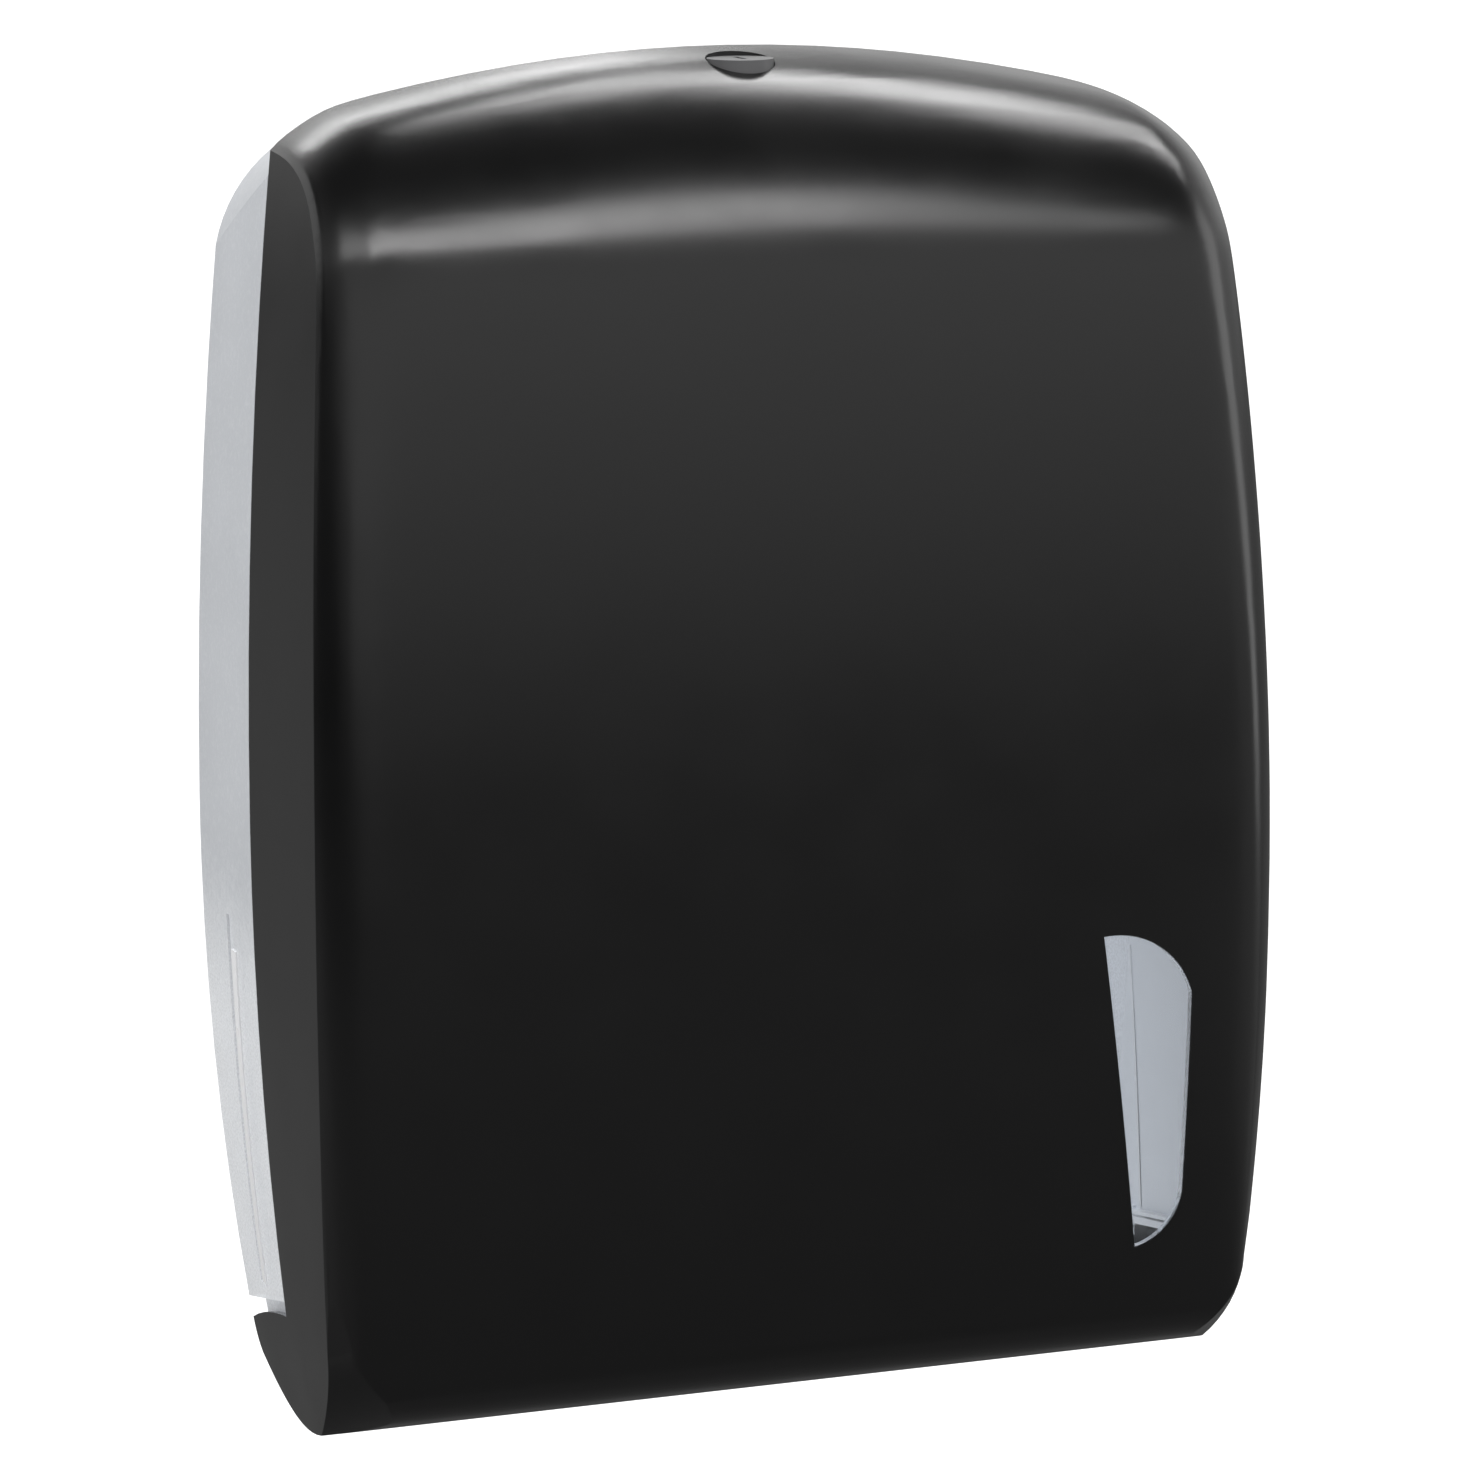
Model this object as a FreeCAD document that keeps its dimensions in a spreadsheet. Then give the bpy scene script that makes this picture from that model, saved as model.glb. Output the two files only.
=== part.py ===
import FreeCAD, Part
import Sketcher
import math
import os
import re
from FreeCAD import Placement, Rotation, Vector

# Wall-mounted dispenser for folded paper towels.
#
# A frosted rear body screws to the wall.  A deep black cover hangs on two pins in the body's lower
# corners, swings forward for refilling, and is held shut by a key-turned bolt under its dome.
#
# Frame: the wall is the plane Y = 0 and the object stands out of it towards -Y, +Z is up and X = 0
# is the middle.  "Reach" means the distance out from the wall, so reach = -Y.  Z = 0 is level with
# the cover's front bottom edge.  All sizes are millimetres and degrees.

doc = FreeCAD.newDocument("towel_dispenser")
sheet = doc.addObject("Spreadsheet::Sheet", "sizes")

SIZES = [
    # -- side faces: barrel-shaped, ruled between an outline at the wall and one at the front
    ("front_half_width", 151.9), ("front_widest_height", 150), ("front_side_radius", 2260),
    ("rear_half_width", 150.9), ("rear_widest_height", 172),
    ("rear_side_radius_up", 1760), ("rear_side_radius_down", 980), ("front_outline_reach", 120),
    # -- front skin: bowed panel, domed top, rolled edges
    ("wall", 2.6), ("panel_reach", 139.3), ("panel_fullest_height", 130), ("panel_bow_up", 1260),
    ("panel_bow_down", 1000), ("panel_crown", 2.0), ("dome_start", 333), ("crown_height", 400),
    ("dome_rear_reach", 40), ("dome_rise", 46), ("dome_run", 44), ("dome_crown", 24),
    ("edge_line_low", 135.6), ("edge_line_height", 150), ("edge_line_radius", 1300),
    ("edge_line_top", 118), ("edge_break_angle", 7), ("edge_drop_panel", 15.4),
    ("edge_drop_dome", 27.5), ("edge_overrun", 1.7),
    # -- parting line and the lower ears
    ("parting_reach", 61.1), ("parting_lean", 1.873), ("parting_gap", 0.4),
    ("hinge_reach", 10), ("hinge_height", 3.5), ("ear_radius", 9.7),
    ("ear_tip_height", 4.6), ("ear_edge_mid_reach", 30), ("ear_edge_mid_height", 14.6),
    ("ear_edge_front_height", 21.8), ("ear_flange_start", 15),
    ("belly_start_angle", 102), ("belly_low_reach", 45),
    ("belly_low_height", -11.5), ("nose_start_reach", 118), ("nose_start_height", 3.0),
    ("nose_radius", 28.5),
    # -- rounded lower front corners: their outline at one reach, which fades out further back
    ("corner_reach", 122), ("corner_fade", 0.45), ("corner_top_x", 150.6),
    ("corner_top_height", 62), ("corner_start_x", 146), ("corner_start_height", 27),
    ("corner_mid_x", 138.5), ("corner_mid_height", 10.2), ("corner_end_x", 122),
    ("corner_end_height", 3.6),
    # -- dispensing mouth in the cover's underside
    ("mouth_half_width", 132), ("lip_reach", 101),
    # -- window
    ("window_top_x", 89.9), ("window_top_height", 136.5), ("window_right_x", 119.7),
    ("window_right_top", 117), ("window_right_bottom", 54), ("window_bottom_x", 103.5),
    ("window_bottom_height", 37.6), ("window_arc_x", 111.2), ("window_arc_top", 130),
    ("window_arc_bottom", 42.2), ("pane_gap", 0.25), ("pane_flange", 5), ("pane_thickness", 1.4),
    # -- rear body
    ("back_thickness", 2.8), ("body_corner_x", 121.6), ("body_corner_height", 370.5),
    ("body_corner_mid_x", 136.6), ("body_corner_mid_height", 355.5),
    ("body_corner_start", 332), ("body_crown_height", 386), ("body_front_corner_x", 132),
    ("body_front_corner_height", 375.5), ("body_front_corner_mid_height", 371.5),
    ("body_front_corner_start", 364), ("body_front_crown_height", 396.6),
    ("body_front_reach", 66), ("rim_height", 11.4), ("rim_slope", 14.0), ("rim_thickness", 2.2),
    ("skirt_inset", 5.0), ("knuckle_radius", 7.4), ("floor_gap", 0.8),
    ("tongue_gap", 0.6), ("tongue_length", 2.4), ("tongue_root", 9), ("tongue_thickness", 1.6),
    ("rib_pitch", 40), ("rib_width", 2.2), ("rib_depth", 3.2),
    ("rib_foot", 40), ("rib_top", 330), ("flute_reach", 34), ("flute_width", 7),
    ("flute_depth", 0.8), ("flute_foot", 24), ("flute_top", 140),
    # -- wall screw holes
    ("screw_pitch_x", 200), ("screw_pitch_z", 240), ("screw_low_height", 70),
    ("wall_hole_radius", 3), ("wall_pad_radius", 9), ("wall_pad_height", 2),
    # -- hinge pins
    ("pin_radius", 2.2), ("pin_running_gap", 0.05), ("pin_knuckle_length", 9),
    ("pin_overhang", 0.8), ("knuckle_wall", 3.2), ("knuckle_proud", 0.6),
    ("ear_boss_radius", 3.7), ("ear_boss_gap", 0.4), ("pin_seat_depth", 1.6),
    # -- towel tray
    ("tray_thickness", 2.4), ("tray_floor_height", -3.4), ("tray_reach", 95),
    ("tray_rear_gap", 0.4), ("tray_notch_x", 122.2), ("tray_notch_reach", 18.4),
    ("tray_side_x_rear", 128.8), ("tray_side_x_mid", 131.2), ("tray_mid_reach", 46),
    ("tray_stop_height", 9), ("tray_stop_width", 2.4), ("tray_mouth_half_width", 112),
    ("tray_mouth_rear", 30), ("tray_mouth_front", 80), ("collar_depth", 4.4),
    ("collar_width", 2.4), ("tray_lug_x", 124.5), ("tray_lug_end_x", 133.4),
    ("tray_lug_rear", 30), ("tray_lug_length", 27), ("tray_lug_top", 6),
    ("tray_screw_x", 128), ("tray_screw_reach", 36), ("tray_screw_pitch", 14),
    ("screw_radius", 1.5), ("screw_head_radius", 2.8), ("screw_head_height", 1.8),
    ("screw_length", 8), ("socket_radius", 1.3), ("socket_depth", 0.9), ("thread_gap", 0.05),
    # -- lock in the dome
    ("lock_reach", 68), ("lock_proud", 3.2), ("ring_radius", 10), ("ring_seat_gap", 0.4),
    ("ring_height", 5.2),
    ("collar_radius", 9), ("collar_gap", 0.2), ("collar_length", 8.3), ("barrel_radius", 7.5),
    ("barrel_gap", 0.05), ("barrel_length", 17), ("barrel_head_radius", 8.3),
    ("barrel_head_height", 1), ("barrel_head_gap", 0.3), ("keyway_depth", 1.6),
    ("keyway_length", 8), ("keyway_width", 1.8), ("nut_radius", 12.5), ("nut_height", 3),
    ("lock_pad_drop", 0.8), ("lock_pad_radius", 13.5), ("circlip_radius", 8.9),
    ("circlip_height", 1), ("circlip_gap", 0.3), ("circlip_groove", 0.6),
    ("circlip_mouth", 5), ("cam_radius", 6.8), ("cam_height", 2.4), ("peg_offset", 5),
    ("peg_radius", 1.6), ("peg_length", 5.6), ("lock_turn", 90),
    # -- latch bolt and its housing
    ("bolt_height", 6), ("bolt_depth", 13), ("bolt_tail_x", -12), ("bolt_nose_x", 9.2),
    ("bolt_shoulder_x", 1.5), ("nose_depth", 7), ("slot_gap", 0.35), ("bolt_gap", 0.3),
    ("cam_bolt_gap", 0.6), ("housing_wall", 2), ("housing_left_x", -22),
    ("housing_right_x", 8.8), ("housing_boss_x", -17.5), ("housing_boss_radius", 3.6),
    ("housing_lug_height", 3),
    # -- keeper on the body
    ("keeper_x", 9.6), ("keeper_thickness", 1.5), ("keeper_rear_reach", 45),
    ("keeper_front_margin", 4), ("keeper_height", 17), ("keeper_foot_width", 15),
    ("keeper_hole_gap", 0.5), ("keeper_block_width", 17), ("keeper_block_reach", 30),
    ("keeper_screw_pitch", 9), ("keeper_screw_x", 18),
]
for row, (alias, value) in enumerate(SIZES, start=1):
    sheet.set(f"A{row}", alias)
    sheet.set(f"B{row}", str(value))
    sheet.setAlias(f"B{row}", alias)
doc.recompute()


def size(alias):
    """Value of one cell of the sheet as a plain number."""
    return float(getattr(sheet, alias))


def derive(alias, value):
    """Put a worked-out value on the sheet too, so that other objects can be bound to it."""
    derive.row += 1
    sheet.set(f"D{derive.row}", alias)
    sheet.set(f"E{derive.row}", f"{value:.6f}")
    sheet.setAlias(f"E{derive.row}", alias)
    doc.recompute()
    known.add(alias)


derive.row = 0
known = {alias for alias, value in SIZES}


# ---------------------------------------------------------------- side faces, skin and outlines

def circle_drop(radius, offset):
    """How far a circle of this radius has fallen away at an offset from its highest point."""
    return radius - math.sqrt(radius * radius - offset * offset)


def at(x, reach, height):
    """Point in the object's frame from its sideways place, reach and height."""
    return Vector(x, -reach, height)


def side_x(reach, height, inset=0.0):
    """Half-width of the object at a reach and a height.

    The side face is ruled: straight from an outline at the wall, which is narrower low down, to a
    barrel-shaped outline at the front.
    """
    front = size("front_half_width") - circle_drop(
        size("front_side_radius"), height - size("front_widest_height"))
    above = height - size("rear_widest_height")
    radius = size("rear_side_radius_up") if above > 0 else size("rear_side_radius_down")
    rear = size("rear_half_width") - circle_drop(radius, above)
    return rear + (front - rear) * reach / size("front_outline_reach") - inset


def side_outline(reach, inset):
    """Closed outline of the two side faces at one reach, as arcs joined top and bottom."""
    low, waist, high = SOLID_FOOT, size("rear_widest_height"), SOLID_TOP
    heights = [low, (low + waist) / 2, waist, (waist + high) / 2, high]
    right = [at(side_x(reach, z, inset), reach, z) for z in heights]
    left = [Vector(-p.x, p.y, p.z) for p in right]
    return Part.Wire([
        Part.makeLine(left[0], right[0]),
        Part.Arc(right[0], right[1], right[2]).toShape(),
        Part.Arc(right[2], right[3], right[4]).toShape(),
        Part.makeLine(right[4], left[4]),
        Part.Arc(left[4], left[3], left[2]).toShape(),
        Part.Arc(left[2], left[1], left[0]).toShape(),
    ])


SOLID_FOOT = -60.0      # the working solids reach past the object, and are trimmed to it
SOLID_TOP = 440.0
SOLID_FRONT = 165.0
SOLID_BACK = -12.0
SOLID_SIDE = 155.0


def side_solid(inset):
    """Everything between the side faces, moved inwards by an inset."""
    outlines = [side_outline(SOLID_BACK, inset), side_outline(SOLID_FRONT, inset)]
    return Part.makeLoft(outlines, True, True)


def panel_reach_at(height):
    """Reach of the bowed front panel along its middle."""
    above = height - size("panel_fullest_height")
    radius = size("panel_bow_up") if above > 0 else size("panel_bow_down")
    return size("panel_reach") - circle_drop(radius, above)


def skin_centre(station):
    """Reach and height of the skin along its middle: 0 to 1 up the panel, 1 to 2 over the dome."""
    start = size("dome_start")
    if station <= 1:
        height = SOLID_FOOT + (start - SOLID_FOOT) * station
        return panel_reach_at(height), height
    lean = (panel_reach_at(start) - panel_reach_at(start - 1))
    rise = size("dome_rise")
    ends = [
        (panel_reach_at(start), start),
        (panel_reach_at(start) + lean * rise, start + rise),
        (size("dome_rear_reach") + size("dome_run"), size("crown_height")),
        (size("dome_rear_reach"), size("crown_height")),
    ]
    t = station - 1
    weights = [(1 - t) ** 3, 3 * t * (1 - t) ** 2, 3 * t * t * (1 - t), t ** 3]
    reach = sum(w * end[0] for w, end in zip(weights, ends))
    height = sum(w * end[1] for w, end in zip(weights, ends))
    return reach, height


def skin_inward(station):
    """Direction into the object, square to the skin's middle line, as reach and height."""
    before = skin_centre(max(station - 1e-4, 0))
    after = skin_centre(min(station + 1e-4, 2))
    run, rise = after[0] - before[0], after[1] - before[1]
    length = math.hypot(run, rise)
    return -rise / length, run / length


def over_dome(station):
    """0 on the panel, rising smoothly to 1 at the dome's rear edge."""
    t = max(station - 1, 0)
    return t * t * (3 - 2 * t)


def blend(panel_value, dome_value, station):
    return panel_value + (dome_value - panel_value) * over_dome(station)


def skin_crown(station, x):
    """Depth by which the skin has fallen away at a sideways place, before its rolled edge."""
    return blend(size("panel_crown"), size("dome_crown"), station) * (
        x / size("front_half_width")) ** 2


def edge_line(station):
    """Sideways place of the soft line where the rolled edge starts."""
    above = max(skin_centre(min(station, 1))[1] - size("edge_line_height"), 0)
    low = size("edge_line_low") - circle_drop(size("edge_line_radius"), above)
    t = max(station - 1, 0)
    return low + (size("edge_line_top") - low) * t * (2 - t)


def edge_roll(station):
    """Width and depth of the ellipse whose quarter forms the rolled edge.

    The ellipse is sized so that the edge meets the side face at the stated drop below the middle
    line, a little before the ellipse turns parallel to that face.
    """
    reach, height = skin_centre(station)
    inward = skin_inward(station)
    drop = blend(size("edge_drop_panel"), size("edge_drop_dome"), station)
    crease_x = side_x(reach + inward[0] * drop, height + inward[1] * drop)
    run = crease_x - edge_line(station)
    width = run + size("edge_overrun")
    fallen = 1 - math.sqrt(1 - (run / width) ** 2)
    slope = math.tan(math.radians(size("edge_break_angle")))
    depth = (drop - skin_crown(station, crease_x) - run * slope) / fallen
    return width, depth


def skin_point(station, x, depth):
    """Point of the skin at a sideways place, sunk by a depth square to the middle line."""
    reach, height = skin_centre(station)
    inward = skin_inward(station)
    return at(x, reach + inward[0] * depth, height + inward[1] * depth)


def sharpened(points):
    """Control points that make a cubic spline pass very nearly through the given points."""
    middle = [points[i] - (points[i - 1] - points[i] * 2 + points[i + 1]) * (1 / 6)
              for i in range(1, len(points) - 1)]
    return points[:1] + middle + points[-1:]


def smooth_face(rows):
    """Face of one cubic spline surface through rows of points."""
    rows = [sharpened(row) for row in rows]
    columns = [sharpened(list(column)) for column in zip(*rows)]
    poles = [list(row) for row in zip(*columns)]
    knots = [list(range(len(line) - 2)) for line in (rows, columns)]
    counts = [[4] + [1] * (len(steps) - 2) + [4] for steps in knots]
    surface = Part.BSplineSurface()
    surface.buildFromPolesMultsKnots(poles, counts[0], counts[1], knots[0], knots[1],
                                     False, False, 3, 3)
    return surface.toShape()


STATIONS = [0.12, 0.3, 0.5, 0.7, 0.88, 1, 1.14, 1.34, 1.56, 1.78, 2]
OUTER_TURNS = (14, 32, 48, 61, 70)      # degrees round the ellipse where the surface is fixed
INNER_TURNS = (22, 48, 70)
INTO_SOLID = Vector(0, 300, -300)       # down and back, never along the skin


def skin_row(station, inset):
    """Points of one row of the skin, from the left end to the right end.

    The row follows the crown to the soft edge line, then the ellipse to 70 degrees, just past the
    side face, and leaves along the ellipse's tangent until it is well outside the object.
    """
    slope = math.tan(math.radians(size("edge_break_angle")))
    line = edge_line(station)
    width, depth = edge_roll(station)
    wide, deep = width - inset, depth - inset
    half = [(line * part, skin_crown(station, line * part) + inset) for part in (0.5, 0.93)]
    for turn in OUTER_TURNS if inset == 0 else INNER_TURNS:
        run = wide * math.sin(math.radians(turn))
        rolled = depth - deep * math.cos(math.radians(turn))
        half.append((line + run, skin_crown(station, line + run) + run * slope + rolled))
    steep = slope + deep / wide * math.tan(math.radians(turn))
    beyond = SOLID_SIDE - half[-1][0]
    half.append((SOLID_SIDE, half[-1][1] + beyond * steep))
    row = [(-x, fall) for x, fall in reversed(half)] + [(0, inset)] + half
    return [skin_point(station, x, fall) for x, fall in row]


def skin_solid(inset):
    """The closed shape inside the cover's side faces, panel, dome and rolled edges."""
    face = smooth_face([skin_row(station, inset) for station in STATIONS])
    block = face.extrude(INTO_SOLID)
    if block.Volume < 0:
        block = block.reversed()
    return block.common(side_solid(inset))


def slab(points_or_wire, half_width=SOLID_SIDE):
    """A side-view outline drawn out sideways by the same amount both ways."""
    wire = points_or_wire
    if isinstance(wire, list):
        wire = Part.makePolygon(wire + wire[:1])
    wire.translate(Vector(-half_width, 0, 0))
    return Part.Face(wire).extrude(Vector(2 * half_width, 0, 0))


def parting_reach_at(height):
    """Reach of the parting line between the body and the cover."""
    return size("parting_reach") - math.tan(math.radians(size("parting_lean"))) * height


def arc_through(first, middle, last):
    return Part.Arc(first, middle, last).toShape()


def underside(inset):
    """Belly and nose of the cover seen from the side, as two circles' centres and radii.

    The belly runs under the ears and the mouth; the nose turns it up into the front panel.  An
    inset moves both inwards.
    """
    angle = math.radians(size("belly_start_angle"))
    start = at(0, size("hinge_reach") + size("ear_radius") * math.cos(angle),
               size("hinge_height") - size("ear_radius") * math.sin(angle))
    low = at(0, size("belly_low_reach"), size("belly_low_height"))
    end = at(0, size("nose_start_reach"), size("nose_start_height"))
    belly = Part.Circle(start, low, end)
    outward = (end - belly.Center).normalize()
    nose_centre = end - outward * size("nose_radius")
    return start, end, belly.Center, belly.Radius - inset, nose_centre, size("nose_radius") - inset


def on_circle(centre, radius, point):
    """The point of a circle nearest to another point."""
    return centre + (point - centre).normalize() * radius


def underside_edges(inset, from_reach=None):
    """Belly arc and nose arc from the rear to the front, and their two end points."""
    start, end, belly_centre, belly_radius, nose_centre, nose_radius = underside(inset)
    if from_reach is not None:
        run = -from_reach - belly_centre.y
        start = Vector(0, -from_reach, belly_centre.z - math.sqrt(belly_radius ** 2 - run ** 2))
    first = on_circle(belly_centre, belly_radius, start)
    last = on_circle(belly_centre, belly_radius, end)
    middle = on_circle(belly_centre, belly_radius, (first + last) * 0.5)
    front = nose_centre + Vector(0, -nose_radius, 0)
    turn = on_circle(nose_centre, nose_radius, (last + front) * 0.5)
    return arc_through(first, middle, last), arc_through(last, turn, front), first, front


# ---------------------------------------------------------------- cover

def cover_side_view():
    """Closed side view of the cover: ears, underside, front, parting line."""
    hinge = at(0, size("hinge_reach"), size("hinge_height"))
    ear = size("ear_radius")
    rise = size("ear_tip_height") - size("hinge_height")
    tip = hinge + Vector(0, math.sqrt(ear * ear - rise * rise), rise)
    belly, nose, start, front = underside_edges(0)
    ear_middle = on_circle(hinge, ear, (tip + start) * 0.5)
    notch_height = size("ear_edge_front_height")
    gap = size("parting_gap")
    notch = at(0, parting_reach_at(notch_height) + gap, notch_height)
    top = at(0, parting_reach_at(SOLID_TOP) + gap, SOLID_TOP)
    edge_middle = at(0, size("ear_edge_mid_reach"), size("ear_edge_mid_height"))
    corner_low = at(0, SOLID_FRONT, front.z)
    corner_high = at(0, SOLID_FRONT, SOLID_TOP)
    return Part.Wire([
        arc_through(tip, ear_middle, start), belly, nose,
        Part.makeLine(front, corner_low), Part.makeLine(corner_low, corner_high),
        Part.makeLine(corner_high, top), Part.makeLine(top, notch),
        arc_through(notch, edge_middle, tip),
    ])


def cavity_side_view():
    """Closed side view of the cover's inside; behind the flange it is open underneath."""
    belly, nose, start, front = underside_edges(size("wall"), size("ear_flange_start"))
    foot = at(0, size("ear_flange_start"), SOLID_FOOT)
    corners = [at(0, SOLID_FRONT, front.z), at(0, SOLID_FRONT, SOLID_TOP),
               at(0, SOLID_BACK, SOLID_TOP), at(0, SOLID_BACK, SOLID_FOOT), foot, start]
    edges = [belly, nose]
    for first, last in zip([front] + corners[:-1], corners):
        edges.append(Part.makeLine(first, last))
    return Part.Wire(edges)


def corner_room(inset):
    """Room outside the cover's two rounded lower front corners, as one pair of slanted prisms.

    The outline bends from the side face into the underside.  It sinks and widens towards the wall,
    so that the rounding is largest in front and fades out along the belly.
    """
    fade = size("corner_fade")
    shift = fade * (SOLID_FRONT - size("corner_reach"))

    def corner(name, sideways=0.0, upwards=0.0):
        return at(size(f"corner_{name}_x") - sideways - shift, SOLID_FRONT,
                  size(f"corner_{name}_height") + upwards + shift)

    diagonal = inset / math.sqrt(2)
    start = corner("start", inset)
    end = corner("end", 0, inset)
    top = corner("top", inset)
    foot, outside = Vector(end.x, end.y, SOLID_FOOT), Vector(2 * SOLID_SIDE, end.y, SOLID_FOOT)
    outside_top = Vector(2 * SOLID_SIDE, end.y, top.z)
    wire = Part.Wire([
        Part.makeLine(top, start), arc_through(start, corner("mid", diagonal, diagonal), end),
        Part.makeLine(end, foot), Part.makeLine(foot, outside),
        Part.makeLine(outside, outside_top), Part.makeLine(outside_top, top),
    ])
    run = 120.0
    right = Part.Face(wire).extrude(Vector(fade * run, run, -fade * run))
    return right.fuse(right.mirror(Vector(), Vector(1, 0, 0)))


def window_outline(grow, reach):
    """The blade-shaped window: a slanted left edge and a right edge joined by two arcs.

    grow moves the whole outline outwards (or inwards, where it is negative).
    """
    top_left = at(size("window_top_x"), reach, size("window_top_height"))
    top_arc = at(size("window_arc_x"), reach, size("window_arc_top"))
    right_top = at(size("window_right_x"), reach, size("window_right_top"))
    right_bottom = at(size("window_right_x") - 1, reach, size("window_right_bottom"))
    bottom_arc = at(size("window_arc_x") + 1.5, reach, size("window_arc_bottom"))
    bottom_left = at(size("window_bottom_x"), reach, size("window_bottom_height"))
    wire = Part.Wire([
        arc_through(top_left, top_arc, right_top), Part.makeLine(right_top, right_bottom),
        arc_through(right_bottom, bottom_arc, bottom_left), Part.makeLine(bottom_left, top_left),
    ])
    if grow:
        wire = wire.makeOffset2D(grow, 2)
    return wire


def window_prism(grow):
    """The window's outline drawn out through the front panel."""
    return Part.Face(window_outline(grow, SOLID_FRONT)).extrude(Vector(0, 60, 0))


def dome_height_at(reach):
    """Height of the dome's middle line at a reach, by halving the station interval."""
    low, high = 1.0, 2.0
    for step in range(40):
        middle = (low + high) / 2
        if skin_centre(middle)[0] > reach:
            low = middle
        else:
            high = middle
    return skin_centre(low)[1]


derive("hinge_side_x", side_x(size("hinge_reach"), size("hinge_height")))
derive("lock_face", dome_height_at(size("lock_reach") + size("ring_radius"))
       + size("lock_proud"))
derive("lock_pad_top", dome_height_at(size("lock_reach") - size("ring_radius")))
derive("nut_top", dome_height_at(size("lock_reach") + size("nut_radius")) - size("wall")
       - size("lock_pad_drop"))
derive("peg_shift", size("peg_offset") * math.sin(math.radians(size("lock_turn") / 2)))
derive("peg_forward", size("peg_offset") * math.cos(math.radians(size("lock_turn") / 2)))
derive("bolt_travel", 2 * size("peg_shift"))


# ---------------------------------------------------------------- sheet-bound features

def bind(thing, prop, formula):
    """Tie one property of an object to a formula written in the sheet's names."""
    words = re.sub(r"[a-z_]+[a-z]", lambda match: "sizes." + match.group()
                   if match.group() in known else match.group(), formula)
    thing.setExpression(prop, words)


def worth(formula):
    """Value of a formula, worked out by a spare cell of the sheet."""
    sheet.set("H1", "=" + formula)
    sheet.recompute()
    return float(sheet.get("H1"))


def place(thing, x, reach, height):
    """Tie an object's position to formulas for its sideways place, reach and height."""
    for axis, formula in (("x", x), ("y", f"-({reach})"), ("z", height)):
        bind(thing, f".Placement.Base.{axis}", formula)
    return thing


def box(label, x, reach, height, width, depth, tall):
    """Block from its left end, its front face's reach and its foot, with three extents."""
    thing = doc.addObject("Part::Box", label)
    for prop, formula in (("Length", width), ("Width", depth), ("Height", tall)):
        bind(thing, prop, formula)
    return place(thing, x, reach, height)


AXES = {"x": Rotation(Vector(0, 0, 1), Vector(1, 0, 0)),
        "y": Rotation(Vector(0, 0, 1), Vector(0, 1, 0)),
        "z": Rotation()}


def rod(label, axis, radius, length, x, reach, height):
    """Cylinder from its starting point along +X, along +Y (towards the wall) or up."""
    thing = doc.addObject("Part::Cylinder", label)
    thing.Placement = Placement(Vector(), AXES[axis])
    bind(thing, "Radius", radius)
    bind(thing, "Height", length)
    return place(thing, x, reach, height)


def hexagon(label, axis, radius, length, x, reach, height):
    """Six-sided prism, placed like a rod."""
    thing = doc.addObject("Part::Prism", label)
    thing.Polygon = 6
    thing.Placement = Placement(Vector(), AXES[axis])
    bind(thing, "Circumradius", radius)
    bind(thing, "Height", length)
    return place(thing, x, reach, height)


def fuse(label, *things):
    thing = doc.addObject("Part::MultiFuse", label)
    thing.Shapes = list(things)
    return thing


def overlap(label, *things):
    thing = doc.addObject("Part::MultiCommon", label)
    thing.Shapes = list(things)
    return thing


def cut(label, base, *tools):
    """What is left of a base after one or more tools are taken away."""
    thing = doc.addObject("Part::Cut", label)
    thing.Base = base
    thing.Tool = tools[0] if len(tools) == 1 else fuse(label + "_tools", *tools)
    return thing


def both_sides(thing):
    """The object together with its mirror image in the plane X = 0."""
    image = doc.addObject("Part::Mirroring", thing.Label + "_mirrored")
    image.Source = thing
    image.Normal = Vector(1, 0, 0)
    return thing, image


def solid_feature(label, shape):
    """A solid that no standard feature can make, kept as an object of its own."""
    thing = doc.addObject("Part::Feature", label)
    thing.Shape = shape
    thing.Placement = Placement()
    return thing


def body_sketch(body, plane, lift):
    """Empty sketch on a base plane of a body, lifted off that plane by a formula."""
    sketch = body.newObject("Sketcher::SketchObject", f"{body.Label}_{plane.lower()}")
    origin = {feature.Role: feature for feature in body.Origin.OriginFeatures}
    sketch.AttachmentSupport = [(origin[plane], "")]
    sketch.MapMode = "FlatFace"
    if lift != "0":
        bind(sketch, ".AttachmentOffset.Base.z", lift)
    return sketch


def tie(sketch, geometry, point, u, v):
    """Fix one sketch point at two formulas measured from the sketch's origin."""
    for kind, axis, formula in (("DistanceX", -2, u), ("DistanceY", -1, v)):
        if formula == "0":
            sketch.addConstraint(Sketcher.Constraint("PointOnObject", geometry, point, axis))
            continue
        rule = Sketcher.Constraint(kind, -1, 1, geometry, point, worth(formula))
        bind(sketch, f"Constraints[{sketch.addConstraint(rule)}]", formula)


def outline(sketch, corners):
    """Closed outline of straight lines whose corners are pairs of formulas."""
    points = [Vector(worth(u), worth(v), 0) for u, v in corners]
    first, count = sketch.GeometryCount, len(points)
    for i in range(count):
        sketch.addGeometry(Part.LineSegment(points[i], points[(i + 1) % count]))
    for i in range(count):
        after = first + (i + 1) % count
        sketch.addConstraint(Sketcher.Constraint("Coincident", first + i, 2, after, 1))
        tie(sketch, first + i, 1, *corners[i])


def circle(sketch, u, v, radius):
    """Circle whose centre and radius are formulas."""
    curve = Part.Circle(Vector(worth(u), worth(v), 0), Vector(0, 0, 1), worth(radius))
    index = sketch.addGeometry(curve)
    tie(sketch, index, 3, u, v)
    rule = sketch.addConstraint(Sketcher.Constraint("Radius", index, worth(radius)))
    bind(sketch, f"Constraints[{rule}]", radius)


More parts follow.
